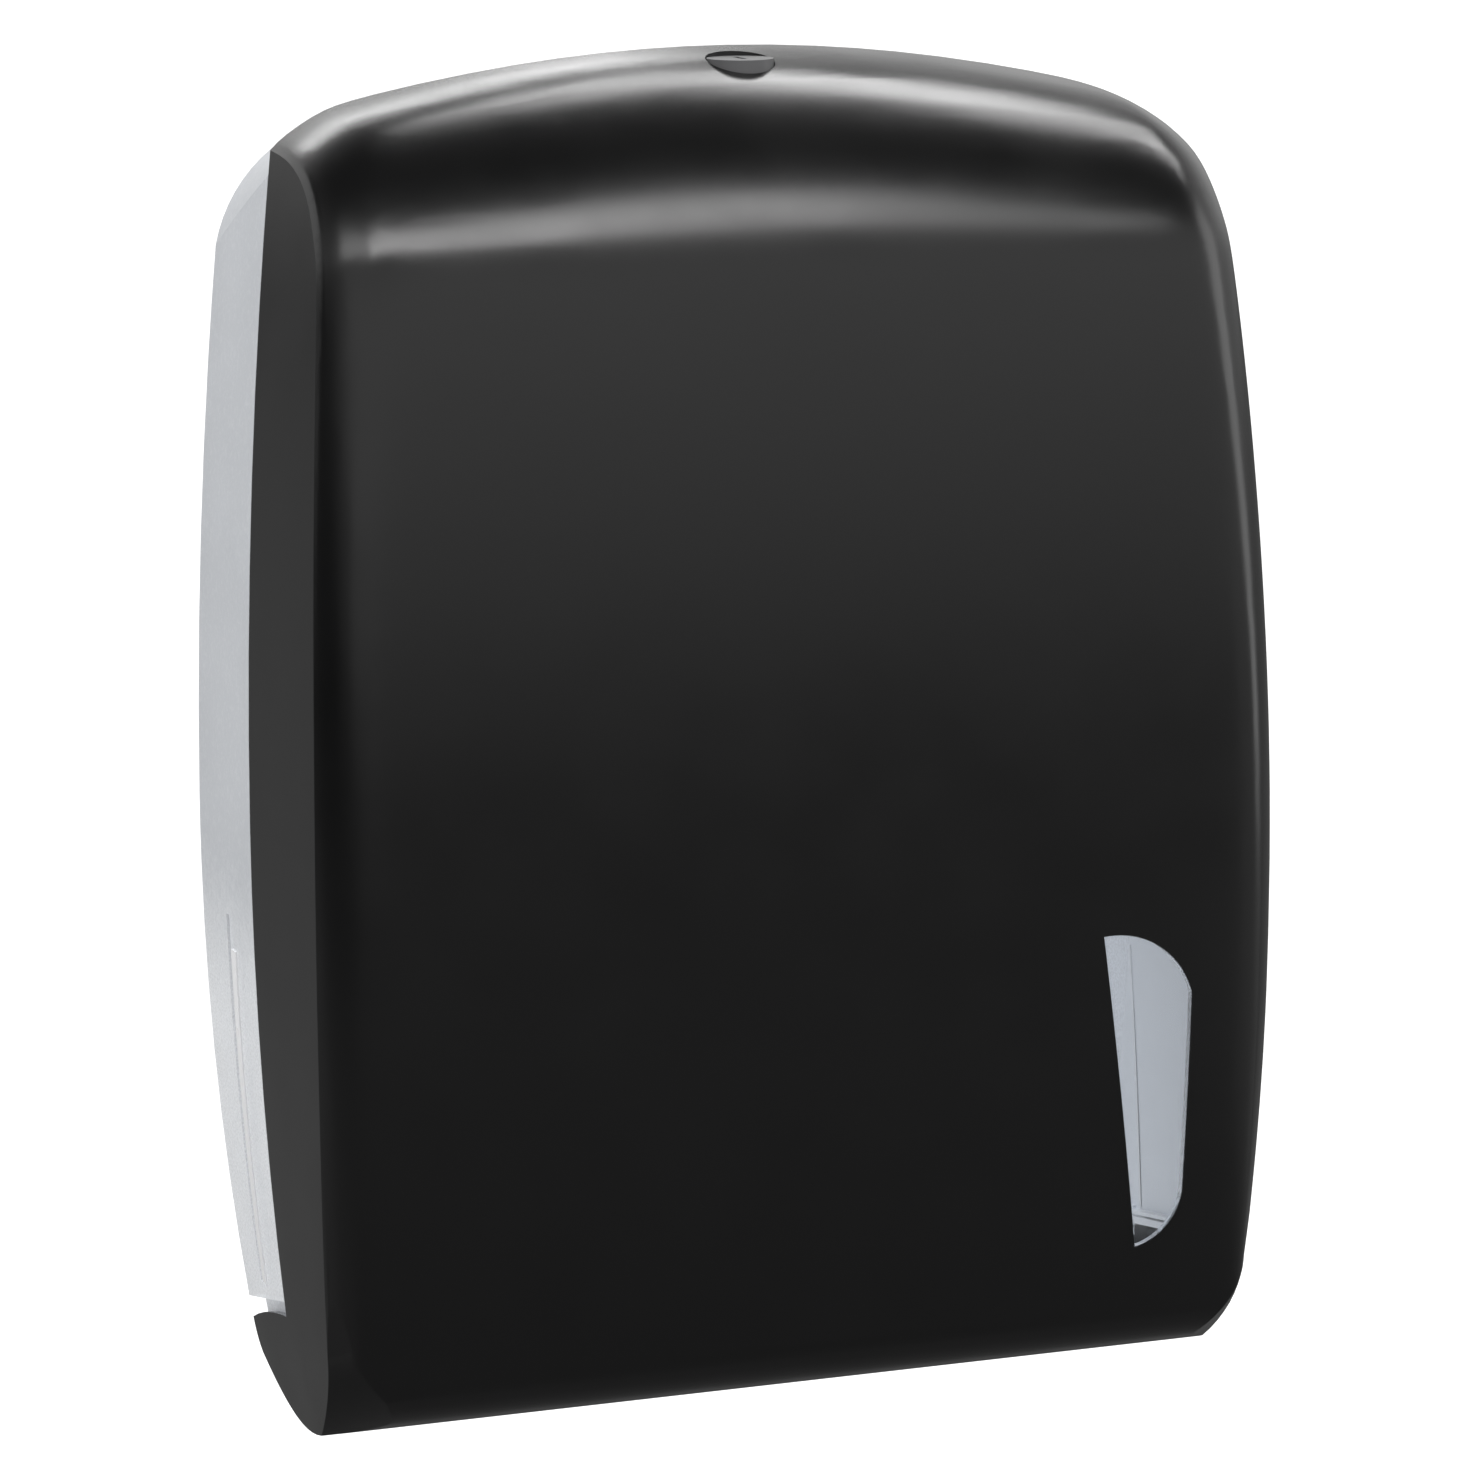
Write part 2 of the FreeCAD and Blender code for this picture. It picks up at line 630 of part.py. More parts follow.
def pad(body, sketch, length):
    feature = body.newObject("PartDesign::Pad", sketch.Label + "_pad")
    feature.Profile = sketch
    bind(feature, "Length", length)
    return feature


def pocket(body, sketch, length):
    """Pocket that must take material away, which is compared before and after."""
    before = body.Tip.Shape.Volume
    feature = body.newObject("PartDesign::Pocket", sketch.Label + "_pocket")
    feature.Profile = sketch
    bind(feature, "Length", length)
    doc.recompute()
    if feature.Shape.Volume > before - 0.5:
        raise ValueError(f"{feature.Label} takes nothing away")
    return feature


def revolve(body, sketch):
    """Full turn of a sketch about its own vertical axis."""
    feature = body.newObject("PartDesign::Revolution", sketch.Label + "_turned")
    feature.Profile = sketch
    feature.ReferenceAxis = (sketch, ["V_Axis"])
    feature.Angle = 360
    return feature


def new_body(label):
    return doc.addObject("PartDesign::Body", label)


def socket_screw(label, axis, turn, x, reach, height):
    """One socket-headed screw whose head rests at the given point.

    turn is 1 where the shank runs along the axis and -1 where it runs the other way.
    """
    along = {"y": "reach", "z": "height"}[axis]
    start = {"x": x, "reach": reach, "height": height}
    sign = turn if axis == "z" else -turn

    def from_head(distance, length):
        """Formula of the lower end of a stretch that starts at a distance along the shank."""
        near = f"{start[along]} + ({sign}) * ({distance})"
        moved = dict(start)
        moved[along] = near if turn == 1 else f"{near} + ({sign}) * ({length})"
        return moved["x"], moved["reach"], moved["height"]

    head = rod(f"{label}_head", axis, "screw_head_radius", "screw_head_height",
               *from_head("-screw_head_height", "screw_head_height"))
    shank = rod(f"{label}_shank", axis, "screw_radius", "screw_length",
                *from_head("0", "screw_length"))
    socket = hexagon(f"{label}_socket", axis, "socket_radius", "socket_depth",
                     *from_head("-screw_head_height", "socket_depth"))
    return cut(label + "_screw", fuse(label + "_blank", head, shank), socket)


def together(label, things):
    """Several identical fasteners as one sub-part."""
    thing = doc.addObject("Part::Compound", label)
    thing.Links = things
    return thing


# ---------------------------------------------------------------- front cover and its window

cover_outside = solid_feature("cover_outside", skin_solid(0).common(slab(cover_side_view()))
                              .cut(corner_room(0)))
cover_inside = solid_feature("cover_inside", skin_solid(size("wall"))
                             .common(slab(cavity_side_view())).cut(corner_room(size("wall"))))
mouth = box("cover_mouth", "-mouth_half_width", "lip_reach", "-60",
            "2 * mouth_half_width", "lip_reach + 20", "72")
ear_boss_x = "hinge_side_x - skirt_inset + knuckle_proud + ear_boss_gap"
ear_bosses = both_sides(rod("ear_boss", "x", "ear_boss_radius",
                            "skirt_inset - knuckle_proud - ear_boss_gap - 1",
                            ear_boss_x, "hinge_reach", "hinge_height"))
pin_seats = both_sides(rod("pin_seat", "x", "pin_radius",
                           "skirt_inset - knuckle_proud - ear_boss_gap - wall + pin_seat_depth",
                           ear_boss_x, "hinge_reach", "hinge_height"))
window_hole = solid_feature("window_hole", window_prism(0))
lock_pad = overlap("lock_pad", cover_outside, rod(
    "lock_pad_rod", "z", "lock_pad_radius", "lock_pad_top - nut_top", "0", "lock_reach", "nut_top"))
lock_recess = rod("lock_recess", "z", "ring_radius + ring_seat_gap", "20", "0", "lock_reach",
                  "lock_face - ring_height")
lock_hole = rod("lock_hole", "z", "collar_radius + collar_gap", "40", "0", "lock_reach",
                "nut_top - 10")

bolt_top = "lock_face - barrel_length - cam_height - cam_bolt_gap"
bolt_foot = f"{bolt_top} - bolt_height"
housing_top = f"{bolt_top} + bolt_gap"
boss_offset = "(bolt_depth / 2 + bolt_gap + housing_wall + housing_boss_radius)"
housing_bosses = []
housing_pilots = []
for end, sign in (("front", "+"), ("rear", "-")):
    reach = f"lock_reach {sign} {boss_offset}"
    boss = rod(f"housing_boss_{end}", "z", "housing_boss_radius", "lock_pad_top - nut_top + 10",
               "housing_boss_x", reach, housing_top)
    housing_bosses.append(overlap(f"housing_boss_{end}_trimmed", cover_outside, boss))
    housing_pilots.append(rod(f"housing_pilot_{end}", "z", "screw_radius", "screw_length - 2",
                              "housing_boss_x", reach, housing_top))
cover_shell = cut("cover_shell", cover_outside, cover_inside, mouth)
cover_blank = fuse("cover_blank", cover_shell, *ear_bosses, lock_pad, *housing_bosses)
front_cover = cut("front_cover", cover_blank, *pin_seats, window_hole, lock_recess, lock_hole,
                  *housing_pilots)

pane_rear = size("wall") + size("pane_thickness")
pane_back = skin_solid(pane_rear)
plug = window_prism(-size("pane_gap")).common(skin_solid(0)).cut(pane_back)
flange = window_prism(size("pane_flange")).common(skin_solid(size("wall"))).cut(pane_back)
window_pane = solid_feature("window_pane", plug.fuse(flange).removeSplitter())

pins = []
for name, x in (("hinge_pin_right", f"{ear_boss_x} - ear_boss_gap - pin_knuckle_length"
                                    " - pin_overhang"),
                ("hinge_pin_left", "-(hinge_side_x - wall + pin_seat_depth)")):
    pins.append(rod(name, "x", "pin_radius", "pin_knuckle_length + pin_overhang + skirt_inset"
                    " - knuckle_proud - wall + pin_seat_depth", x, "hinge_reach", "hinge_height"))


# ---------------------------------------------------------------- rear body

def roof_outline(reach, inset):
    """Closed outline under the body's roof at a reach, moved inwards by an inset.

    The roof's corners and crown change from the wall to the front by straight lines.  Below the
    corners the outline stands clear of the side faces, which trim the body there.
    """
    part = reach / size("body_front_reach")

    def along(rear_alias, front_alias):
        return size(rear_alias) + (size(front_alias) - size(rear_alias)) * part

    start = along("body_corner_start", "body_front_corner_start")
    edge_x = side_x(reach, start) + 0.2
    end_x = along("body_corner_x", "body_front_corner_x")
    end_z = along("body_corner_height", "body_front_corner_height")
    crown = along("body_crown_height", "body_front_crown_height")
    mid_z = along("body_corner_mid_height", "body_front_corner_mid_height")
    middle_x = size("body_corner_mid_x") + (edge_x + 0.1 - size("body_corner_mid_x")) * part * 0.8
    diagonal = inset / math.sqrt(2)
    right = [at(SOLID_SIDE, reach, SOLID_FOOT), at(SOLID_SIDE, reach, start),
             at(edge_x - inset, reach, start), at(middle_x - diagonal, reach, mid_z - diagonal),
             at(end_x, reach, end_z - inset)]
    left = [Vector(-p.x, p.y, p.z) for p in right]
    top = at(0, reach, crown - inset)
    return Part.Wire([
        Part.makeLine(left[0], right[0]), Part.makeLine(right[0], right[1]),
        Part.makeLine(right[1], right[2]), arc_through(right[2], right[3], right[4]),
        arc_through(right[4], top, left[4]), arc_through(left[4], left[3], left[2]),
        Part.makeLine(left[2], left[1]), Part.makeLine(left[1], left[0]),
    ])


def roof_solid(inset):
    """Everything under the body's roof, from the wall plane to past the parting line."""
    reaches = (0, size("body_front_reach"))
    return Part.makeLoft([roof_outline(reach, inset) for reach in reaches], True, True)


def body_solid(inset):
    return side_solid(inset).common(roof_solid(inset))


def rim_height_at(reach, lift=0.0):
    return size("rim_height") + lift + math.tan(math.radians(size("rim_slope"))) * reach


def band(rear, front, foot=SOLID_FOOT, top=SOLID_TOP):
    """Side-view strip that follows the parting line, between two reaches measured from it."""
    return slab([at(0, parting_reach_at(foot) + rear, foot),
                 at(0, parting_reach_at(foot) + front, foot),
                 at(0, parting_reach_at(top) + front, top),
                 at(0, parting_reach_at(top) + rear, top)])


def behind_parting(lift):
    """Side view of everything above the rim, behind the parting line and before the wall."""
    reach = parting_reach_at(rim_height_at(size("parting_reach")))
    return slab([at(0, 0, rim_height_at(0, lift)), at(0, reach, rim_height_at(reach, lift)),
                 at(0, parting_reach_at(SOLID_TOP), SOLID_TOP), at(0, 0, SOLID_TOP)])


def skirt_view():
    """Side view of the stepped-in skirt that stands between the ears, just above the belly."""
    belly_inside = size("wall") + size("floor_gap")
    start, end, centre, radius, nose_centre, nose_radius = underside(belly_inside)
    knuckle_foot = size("hinge_height") - size("knuckle_radius")
    front = parting_reach_at(0) - 3
    reaches = [20, 32, 45, front]
    bottom = [on_circle(centre, radius, at(0, reach, -20)) for reach in reaches]
    top = size("rim_thickness")
    return slab([at(0, 0, rim_height_at(0, top)), at(0, 0, knuckle_foot),
                 at(0, 14, knuckle_foot)] + bottom
                + [at(0, front, rim_height_at(front, top))])


def before_back(foot, top_lift):
    """Side view of the room in front of the back plate; top_lift None leaves it open above."""
    rear, front = size("back_thickness"), SOLID_FRONT
    if top_lift is None:
        lift = size("rim_thickness")
        return slab([at(0, rear, rim_height_at(rear, lift)), at(0, front, rim_height_at(front, lift)),
                     at(0, front, SOLID_TOP), at(0, rear, SOLID_TOP)])
    return slab([at(0, rear, foot), at(0, front, foot), at(0, front, rim_height_at(front, top_lift)),
                 at(0, rear, rim_height_at(rear, top_lift))])


skirt_out = size("skirt_inset")
skirt_in = skirt_out + size("wall")
body_outside = body_solid(0).common(behind_parting(0)).fuse(
    side_solid(skirt_out).common(skirt_view()))
body_inside = body_solid(size("wall")).common(before_back(0, None)).fuse(
    side_solid(skirt_in).common(before_back(SOLID_FOOT, size("rim_thickness") + 1)))
tongue_out = size("wall") + size("tongue_gap")
tongue_in = tongue_out + size("tongue_thickness")
low, high = rim_height_at(size("parting_reach")) + 8, SOLID_TOP
root = body_solid(size("wall") - 0.1).common(band(-size("tongue_root"), -0.3, low, high))
tongue = skin_solid(tongue_out).common(side_solid(tongue_out)).common(
    band(-size("tongue_thickness"), size("tongue_length"), low, high))
seal = root.fuse(tongue).cut(body_solid(tongue_in))
flute_room = slab([at(0, size("flute_reach") - size("flute_width"), size("flute_foot")),
                   at(0, size("flute_reach"), size("flute_foot")),
                   at(0, size("flute_reach"), size("flute_top")),
                   at(0, size("flute_reach") - size("flute_width"), size("flute_top"))])
flute = flute_room.cut(side_solid(size("flute_depth")))

body_shell = cut("body_shell", solid_feature("body_outside", body_outside),
                 solid_feature("body_inside", body_inside))
body_seal = solid_feature("body_seal", seal)
body_flute = solid_feature("body_flute", flute)

knuckle_end = "hinge_side_x - skirt_inset + knuckle_proud"
knuckles = both_sides(rod("knuckle", "x", "pin_radius + knuckle_wall", "pin_knuckle_length",
                          f"{knuckle_end} - pin_knuckle_length", "hinge_reach", "hinge_height"))
pin_bores = both_sides(rod("pin_bore", "x", "pin_radius + pin_running_gap",
                           "pin_knuckle_length + 4", f"{knuckle_end} - pin_knuckle_length - 2",
                           "hinge_reach", "hinge_height"))
ribs = [box(f"rib_{step + 2}", f"{step} * rib_pitch - rib_width / 2", "back_thickness + rib_depth",
            "rib_foot", "rib_width", "rib_depth + 1", "rib_top - rib_foot")
        for step in range(-2, 3)]
pads = []
wall_holes = []
for side, x in (("left", "-screw_pitch_x / 2"), ("right", "screw_pitch_x / 2")):
    for level, z in (("low", "screw_low_height"), ("high", "screw_low_height + screw_pitch_z")):
        pads.append(rod(f"wall_pad_{level}_{side}", "y", "wall_pad_radius", "wall_pad_height + 1",
                        x, "back_thickness + wall_pad_height", z))
        wall_holes.append(rod(f"wall_hole_{level}_{side}", "y", "wall_hole_radius", "20",
                              x, "back_thickness + wall_pad_height + 1", z))
lugs = both_sides(box("tray_lug", "tray_lug_x", "tray_lug_rear + tray_lug_length",
                      "tray_floor_height + tray_thickness", "tray_lug_end_x - tray_lug_x",
                      "tray_lug_length", "tray_lug_top - tray_floor_height - tray_thickness"))
tray_pilots = []
for level in range(2):
    tray_pilots += both_sides(rod(f"tray_pilot_{level}", "z", "screw_radius", "20", "tray_screw_x",
                                  f"tray_screw_reach + {level} * tray_screw_pitch",
                                  "tray_floor_height"))
keeper_foot_z = f"{bolt_foot} + bolt_height / 2 - keeper_height / 2"
block = box("keeper_block_box", "keeper_x", "keeper_rear_reach", keeper_foot_z,
            "keeper_block_width", "keeper_rear_reach - keeper_block_reach", "40")
keeper_block = overlap("keeper_block", block, solid_feature("under_roof", body_solid(1)))
keeper_screw_z = [f"{bolt_foot} + bolt_height / 2 {sign} keeper_screw_pitch / 2" for sign in "+-"]
keeper_pilots = [rod(f"keeper_pilot_{step}", "y", "screw_radius", "screw_length",
                     "keeper_screw_x", "keeper_rear_reach", z)
                 for step, z in enumerate(keeper_screw_z)]
body_blank = fuse("body_blank", body_shell, body_seal, *knuckles, *ribs, *pads, *lugs,
                  keeper_block)
rear_body = cut("rear_body", body_blank, body_flute, *pin_bores, *wall_holes, *tray_pilots,
                *keeper_pilots)


# ---------------------------------------------------------------- towel tray under the stack

tray_body = new_body("tray_floor")
plan = body_sketch(tray_body, "XY_Plane", "tray_floor_height")
half = [("tray_notch_x", "-(back_thickness + tray_rear_gap)"),
        ("tray_notch_x", "-tray_notch_reach"), ("tray_side_x_rear", "-tray_notch_reach"),
        ("tray_side_x_mid", "-tray_mid_reach"), ("tray_side_x_mid", "-tray_reach")]
outline(plan, half + [(f"-{u}", v) for u, v in reversed(half)])
pad(tray_body, plan, "tray_thickness")
front_stop = body_sketch(tray_body, "XZ_Plane", "tray_reach - tray_stop_width")
outline(front_stop, [("-tray_side_x_mid", "tray_floor_height"), ("tray_side_x_mid",
        "tray_floor_height"), ("tray_side_x_mid", "tray_stop_height"),
        ("-tray_side_x_mid", "tray_stop_height")])
pad(tray_body, front_stop, "tray_stop_width")


def stadium(label, grow, foot, tall):
    """The mouth's long round-ended outline, grown outwards by a formula."""
    radius = f"(tray_mouth_front - tray_mouth_rear) / 2 + {grow}"
    middle = "(tray_mouth_front + tray_mouth_rear) / 2"
    reach = f"{middle} + {radius}"
    straight = "tray_mouth_half_width - (tray_mouth_front - tray_mouth_rear) / 2"
    block = box(f"{label}_middle", f"-({straight})", reach, foot, f"2 * ({straight})",
                f"2 * ({radius})", tall)
    ends = [rod(f"{label}_{side}", "z", radius, tall, f"{sign}({straight})", middle, foot)
            for side, sign in (("left", "-"), ("right", ""))]
    return fuse(label, block, *ends)


collar = stadium("tray_collar", "collar_width", "tray_floor_height - collar_depth",
                 "collar_depth + tray_thickness")
tray_mouth = stadium("tray_mouth", "0", "tray_floor_height - collar_depth - 1", "20")
tray_holes = []
for level in range(2):
    tray_holes += both_sides(rod(f"tray_hole_{level}", "z", "screw_radius", "20", "tray_screw_x",
                                 f"tray_screw_reach + {level} * tray_screw_pitch",
                                 "tray_floor_height - 2"))
dispensing_tray = cut("dispensing_tray", fuse("tray_blank", tray_body, collar), tray_mouth,
                      *tray_holes)
tray_screws = together("tray_screws", [
    socket_screw(f"tray_{side}_{level}", "z", 1, f"{sign}tray_screw_x",
                 f"tray_screw_reach + {level} * tray_screw_pitch", "tray_floor_height")
    for side, sign in (("left", "-"), ("right", "")) for level in range(2)])


# ---------------------------------------------------------------- lock in the dome

def turned(label, corners):
    """Part turned about the lock's upright axis from pairs of radius and height."""
    body = new_body(label)
    sketch = body_sketch(body, "XZ_Plane", "lock_reach")
    outline(sketch, corners)
    revolve(body, sketch)
    return body


ring_foot = "lock_face - ring_height"
collar_foot = f"{ring_foot} - collar_length"
bore = "barrel_radius + barrel_gap"
head_bore = "barrel_head_radius + barrel_gap"
head_seat = "lock_face - barrel_head_height - barrel_head_gap"
lock_ring = turned("lock_ring", [
    (bore, collar_foot), ("collar_radius", collar_foot), ("collar_radius", ring_foot),
    ("ring_radius", ring_foot), ("ring_radius", "lock_face"), (head_bore, "lock_face"),
    (head_bore, head_seat), (bore, head_seat)])

clip_top = f"{collar_foot} - circlip_gap"
clip_foot = f"{clip_top} - circlip_height"
barrel_foot = "lock_face - barrel_length"
groove = "barrel_radius - circlip_groove"
barrel_blank = turned("barrel_blank", [
    ("0", barrel_foot), ("barrel_radius", barrel_foot), ("barrel_radius", clip_foot),
    (groove, clip_foot), (groove, clip_top), ("barrel_radius", clip_top),
    ("barrel_radius", "lock_face - barrel_head_height"),
    ("barrel_head_radius", "lock_face - barrel_head_height"),
    ("barrel_head_radius", "lock_face"), ("0", "lock_face")])
keyway = box("keyway", "-keyway_width / 2", "lock_reach + keyway_length / 2",
             "lock_face - keyway_depth", "keyway_width", "keyway_length", "5")
cam_thread = rod("cam_thread", "z", "screw_radius", "screw_length", "0", "lock_reach",
                 "lock_face - barrel_length - 1")
lock_barrel = cut("lock_barrel", barrel_blank, keyway, cam_thread)

lock_nut = cut("lock_nut", hexagon("nut_blank", "z", "nut_radius", "nut_height", "0",
                                   "lock_reach", "nut_top - nut_height"),
               rod("nut_bore", "z", "collar_radius", "10", "0", "lock_reach", "nut_top - 6"))
lock_circlip = cut("lock_circlip",
                   rod("circlip_blank", "z", "circlip_radius", "circlip_height", "0",
                       "lock_reach", clip_foot),
                   rod("circlip_bore", "z", groove, "5", "0", "lock_reach", f"{clip_foot} - 1"),
                   box("circlip_mouth_box", "-circlip_mouth / 2", "lock_reach - 1",
                       f"{clip_foot} - 1", "circlip_mouth", "20", "5"))

cam_foot = f"{barrel_foot} - cam_height"
cam_disc = rod("cam_disc", "z", "cam_radius", "cam_height", "0", "lock_reach", cam_foot)
cam_peg = rod("cam_peg", "z", "peg_radius", "peg_length + cam_height / 2", "-peg_shift",
              "lock_reach + peg_forward", f"{cam_foot} - peg_length")
lock_cam = cut("lock_cam", fuse("cam_blank", cam_disc, cam_peg),
               rod("cam_screw_hole", "z", "screw_radius", "20", "0", "lock_reach",
                   f"{cam_foot} - 5"),
               rod("cam_screw_sink", "z", "screw_head_radius + thread_gap", "screw_head_height",
                   "0", "lock_reach", cam_foot))
cam_screw = together("cam_screw", [
    socket_screw("cam", "z", 1, "0", "lock_reach", f"{cam_foot} + screw_head_height")])


# ---------------------------------------------------------------- latch bolt, housing, keeper

latch_bolt = new_body("latch_bolt")
bolt_plan = body_sketch(latch_bolt, "XY_Plane", bolt_foot)
slot_half = "(peg_radius + slot_gap)"
bolt_front, bolt_rear = "-(lock_reach + bolt_depth / 2)", "-(lock_reach - bolt_depth / 2)"
nose_front, nose_rear = "-(lock_reach + nose_depth / 2)", "-(lock_reach - nose_depth / 2)"
slot_floor = f"-(lock_reach + peg_forward - {slot_half})"
outline(bolt_plan, [
    ("bolt_tail_x", bolt_front), (f"-peg_shift - {slot_half}", bolt_front),
    (f"-peg_shift - {slot_half}", slot_floor), (f"-peg_shift + {slot_half}", slot_floor),
    (f"-peg_shift + {slot_half}", bolt_front), ("bolt_shoulder_x", bolt_front),
    ("bolt_shoulder_x", nose_front), ("bolt_nose_x", nose_front), ("bolt_nose_x", nose_rear),
    ("bolt_shoulder_x", nose_rear), ("bolt_shoulder_x", bolt_rear), ("bolt_tail_x", bolt_rear)])
pad(latch_bolt, bolt_plan, "bolt_height")

housing_foot = f"{bolt_foot} - bolt_gap - housing_wall"
room_half = "(bolt_depth / 2 + bolt_gap)"
housing_half = f"({room_half} + housing_wall)"
housing_block = box("housing_block", "housing_left_x", f"lock_reach + {housing_half}",
                    housing_foot, "housing_right_x - housing_left_x", f"2 * {housing_half}",
                    "bolt_height + 2 * bolt_gap + housing_wall")
housing_room = box("housing_room", "housing_left_x + housing_wall", f"lock_reach + {room_half}",
                   f"{bolt_foot} - bolt_gap", "60", f"2 * {room_half}", "20")
housing_lugs = []
housing_holes = []
housing_screw_list = []
for end, sign in (("front", "+"), ("rear", "-")):
    reach = f"lock_reach {sign} {boss_offset}"
    lug_foot = f"{housing_top} - housing_lug_height"
    round_end = rod(f"housing_lug_{end}_round", "z", "housing_boss_radius", "housing_lug_height",
                    "housing_boss_x", reach, lug_foot)
    neck_reach = f"{reach}" if end == "front" else f"{reach} + housing_boss_radius + 1"
    neck = box(f"housing_lug_{end}_neck", "housing_boss_x - housing_boss_radius", neck_reach,
               lug_foot, "2 * housing_boss_radius", "housing_boss_radius + 1",
               "housing_lug_height")
    housing_lugs += [round_end, neck]
    housing_holes.append(rod(f"housing_hole_{end}", "z", "screw_radius", "20",
                             "housing_boss_x", reach, f"{lug_foot} - 5"))
    housing_screw_list.append(socket_screw(f"housing_{end}", "z", 1, "housing_boss_x", reach,
                                           lug_foot))
latch_housing = cut("latch_housing", fuse("housing_blank", housing_block, *housing_lugs),
                    housing_room, *housing_holes)
housing_screws = together("housing_screws", housing_screw_list)

latch_keeper = new_body("latch_keeper")
keeper_plan = body_sketch(latch_keeper, "XY_Plane", keeper_foot_z)
keeper_front = "-(lock_reach + nose_depth / 2 + keeper_hole_gap + keeper_front_margin)"
foot_front = "-(keeper_rear_reach + keeper_thickness)"
outline(keeper_plan, [
    ("keeper_x", keeper_front), ("keeper_x + keeper_thickness", keeper_front),
    ("keeper_x + keeper_thickness", foot_front), ("keeper_x + keeper_foot_width", foot_front),
    ("keeper_x + keeper_foot_width", "-keeper_rear_reach"), ("keeper_x", "-keeper_rear_reach")])
pad(latch_keeper, keeper_plan, "keeper_height")
doc.recompute()
keeper_eye = body_sketch(latch_keeper, "YZ_Plane", "keeper_x + keeper_thickness + 1")
eye_half = "(nose_depth / 2 + keeper_hole_gap)"
outline(keeper_eye, [
    (f"-(lock_reach + {eye_half})", f"{bolt_foot} - keeper_hole_gap"),
    (f"-(lock_reach - {eye_half})", f"{bolt_foot} - keeper_hole_gap"),
    (f"-(lock_reach - {eye_half})", f"{bolt_top} + keeper_hole_gap"),
    (f"-(lock_reach + {eye_half})", f"{bolt_top} + keeper_hole_gap")])
pocket(latch_keeper, keeper_eye, "keeper_thickness + 2")
keeper_screw_sketch = body_sketch(latch_keeper, "XZ_Plane", "keeper_rear_reach + 5")
for z in keeper_screw_z:
    circle(keeper_screw_sketch, "keeper_screw_x", z, "screw_radius")
pocket(latch_keeper, keeper_screw_sketch, "10")
keeper_screws = together("keeper_screws", [
    socket_screw(f"keeper_{step}", "y", 1, "keeper_screw_x",
                 "keeper_rear_reach + keeper_thickness", z)
    for step, z in enumerate(keeper_screw_z)])


# ---------------------------------------------------------------- checks and export

NODES = ["rear_body", "dispensing_tray", "tray_screws", "latch_keeper", "keeper_screws",
         "front_cover", "window_pane", "hinge_pin_left", "hinge_pin_right", "lock_ring",
         "lock_nut", "latch_housing", "housing_screws", "lock_barrel", "lock_circlip",
         "lock_cam", "cam_screw", "latch_bolt"]

doc.recompute()
for thing in doc.Objects:
    if any(state in ("Invalid", "Error") for state in thing.State):
        raise ValueError(f"{thing.Label}: {thing.State}")

os.makedirs("parts", exist_ok=True)
for label in NODES:
    thing = doc.getObjectsByLabel(label)[0]
    shape = thing.Shape
    if shape.isNull() or not shape.isValid() or not shape.Solids:
        raise ValueError(f"{label} has no valid solid")
    shape.exportStep(f"parts/{label}.step")
    print(f"{label}: {len(shape.Solids)} solid(s), {shape.Volume / 1000:.2f} cm3,"
          f" {len(shape.tessellate(0.3)[1])} facets")
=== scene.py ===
# %% [markdown]
# # A wall-mounted towel dispenser
#
# The solids come from the construction model: a frosted rear body, a deep black cover on two pins,
# a clear level window and a key lock in the dome.  This script gives each of them its finish, adds
# a plain studio and places the camera.  Everything is in metres, in the model's own frame: the
# wall is the plane y = 0, the dispenser stands out of it towards -y, and z is up.

import math

import bmesh
import bpy
import numpy as np
from mathutils import Matrix, Vector


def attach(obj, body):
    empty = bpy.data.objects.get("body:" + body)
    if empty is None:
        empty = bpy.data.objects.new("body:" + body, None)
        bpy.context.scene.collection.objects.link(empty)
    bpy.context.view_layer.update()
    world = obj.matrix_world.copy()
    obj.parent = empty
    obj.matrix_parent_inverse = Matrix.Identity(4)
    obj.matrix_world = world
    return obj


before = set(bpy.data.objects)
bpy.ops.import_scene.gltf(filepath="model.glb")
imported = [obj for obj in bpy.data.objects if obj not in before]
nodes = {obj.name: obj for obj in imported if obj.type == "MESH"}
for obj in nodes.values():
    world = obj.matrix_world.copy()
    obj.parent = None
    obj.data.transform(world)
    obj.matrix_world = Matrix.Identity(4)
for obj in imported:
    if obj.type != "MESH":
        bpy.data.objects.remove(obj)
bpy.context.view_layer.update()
print("solids:", sorted(nodes))

# %% [markdown]
# ## The camera
#
# A long lens stands to the left of the middle, a little above the dispenser.  The view is given by
# the angles of the line of sight, the distance to a target point and a small shift of that point,
# so that it can be adjusted one number at a time.

# %% Place the camera
TURN = math.radians(21.064)         # how far the line of sight turns from straight on
DROP = math.radians(10.837)         # how steeply it looks down
DISTANCE = 1.8031
TARGET = Vector((0.0, -0.05926, 0.19753))
TARGET_SHIFT = (0.001618, -0.007137)
LENS_PER_WIDTH = 5916.6 / 1470

sight = Vector((math.sin(TURN) * math.cos(DROP), math.cos(TURN) * math.cos(DROP), -math.sin(DROP)))
right = Vector((math.cos(TURN), -math.sin(TURN), 0.0))
up = right.cross(sight)
eye = TARGET - sight * DISTANCE + right * TARGET_SHIFT[0] + up * TARGET_SHIFT[1]

camera_data = bpy.data.cameras.new("camera")
camera_data.sensor_fit = "HORIZONTAL"
camera_data.sensor_width = 36.0
camera_data.lens = 36.0 * LENS_PER_WIDTH
camera_data.clip_end = 50.0
camera = bpy.data.objects.new("camera", camera_data)
camera.matrix_world = Matrix.Translation(eye) @ Matrix((right, up, -sight)).transposed().to_4x4()
bpy.context.scene.collection.objects.link(camera)
bpy.context.scene.camera = camera
print("camera at", tuple(round(c, 3) for c in eye))

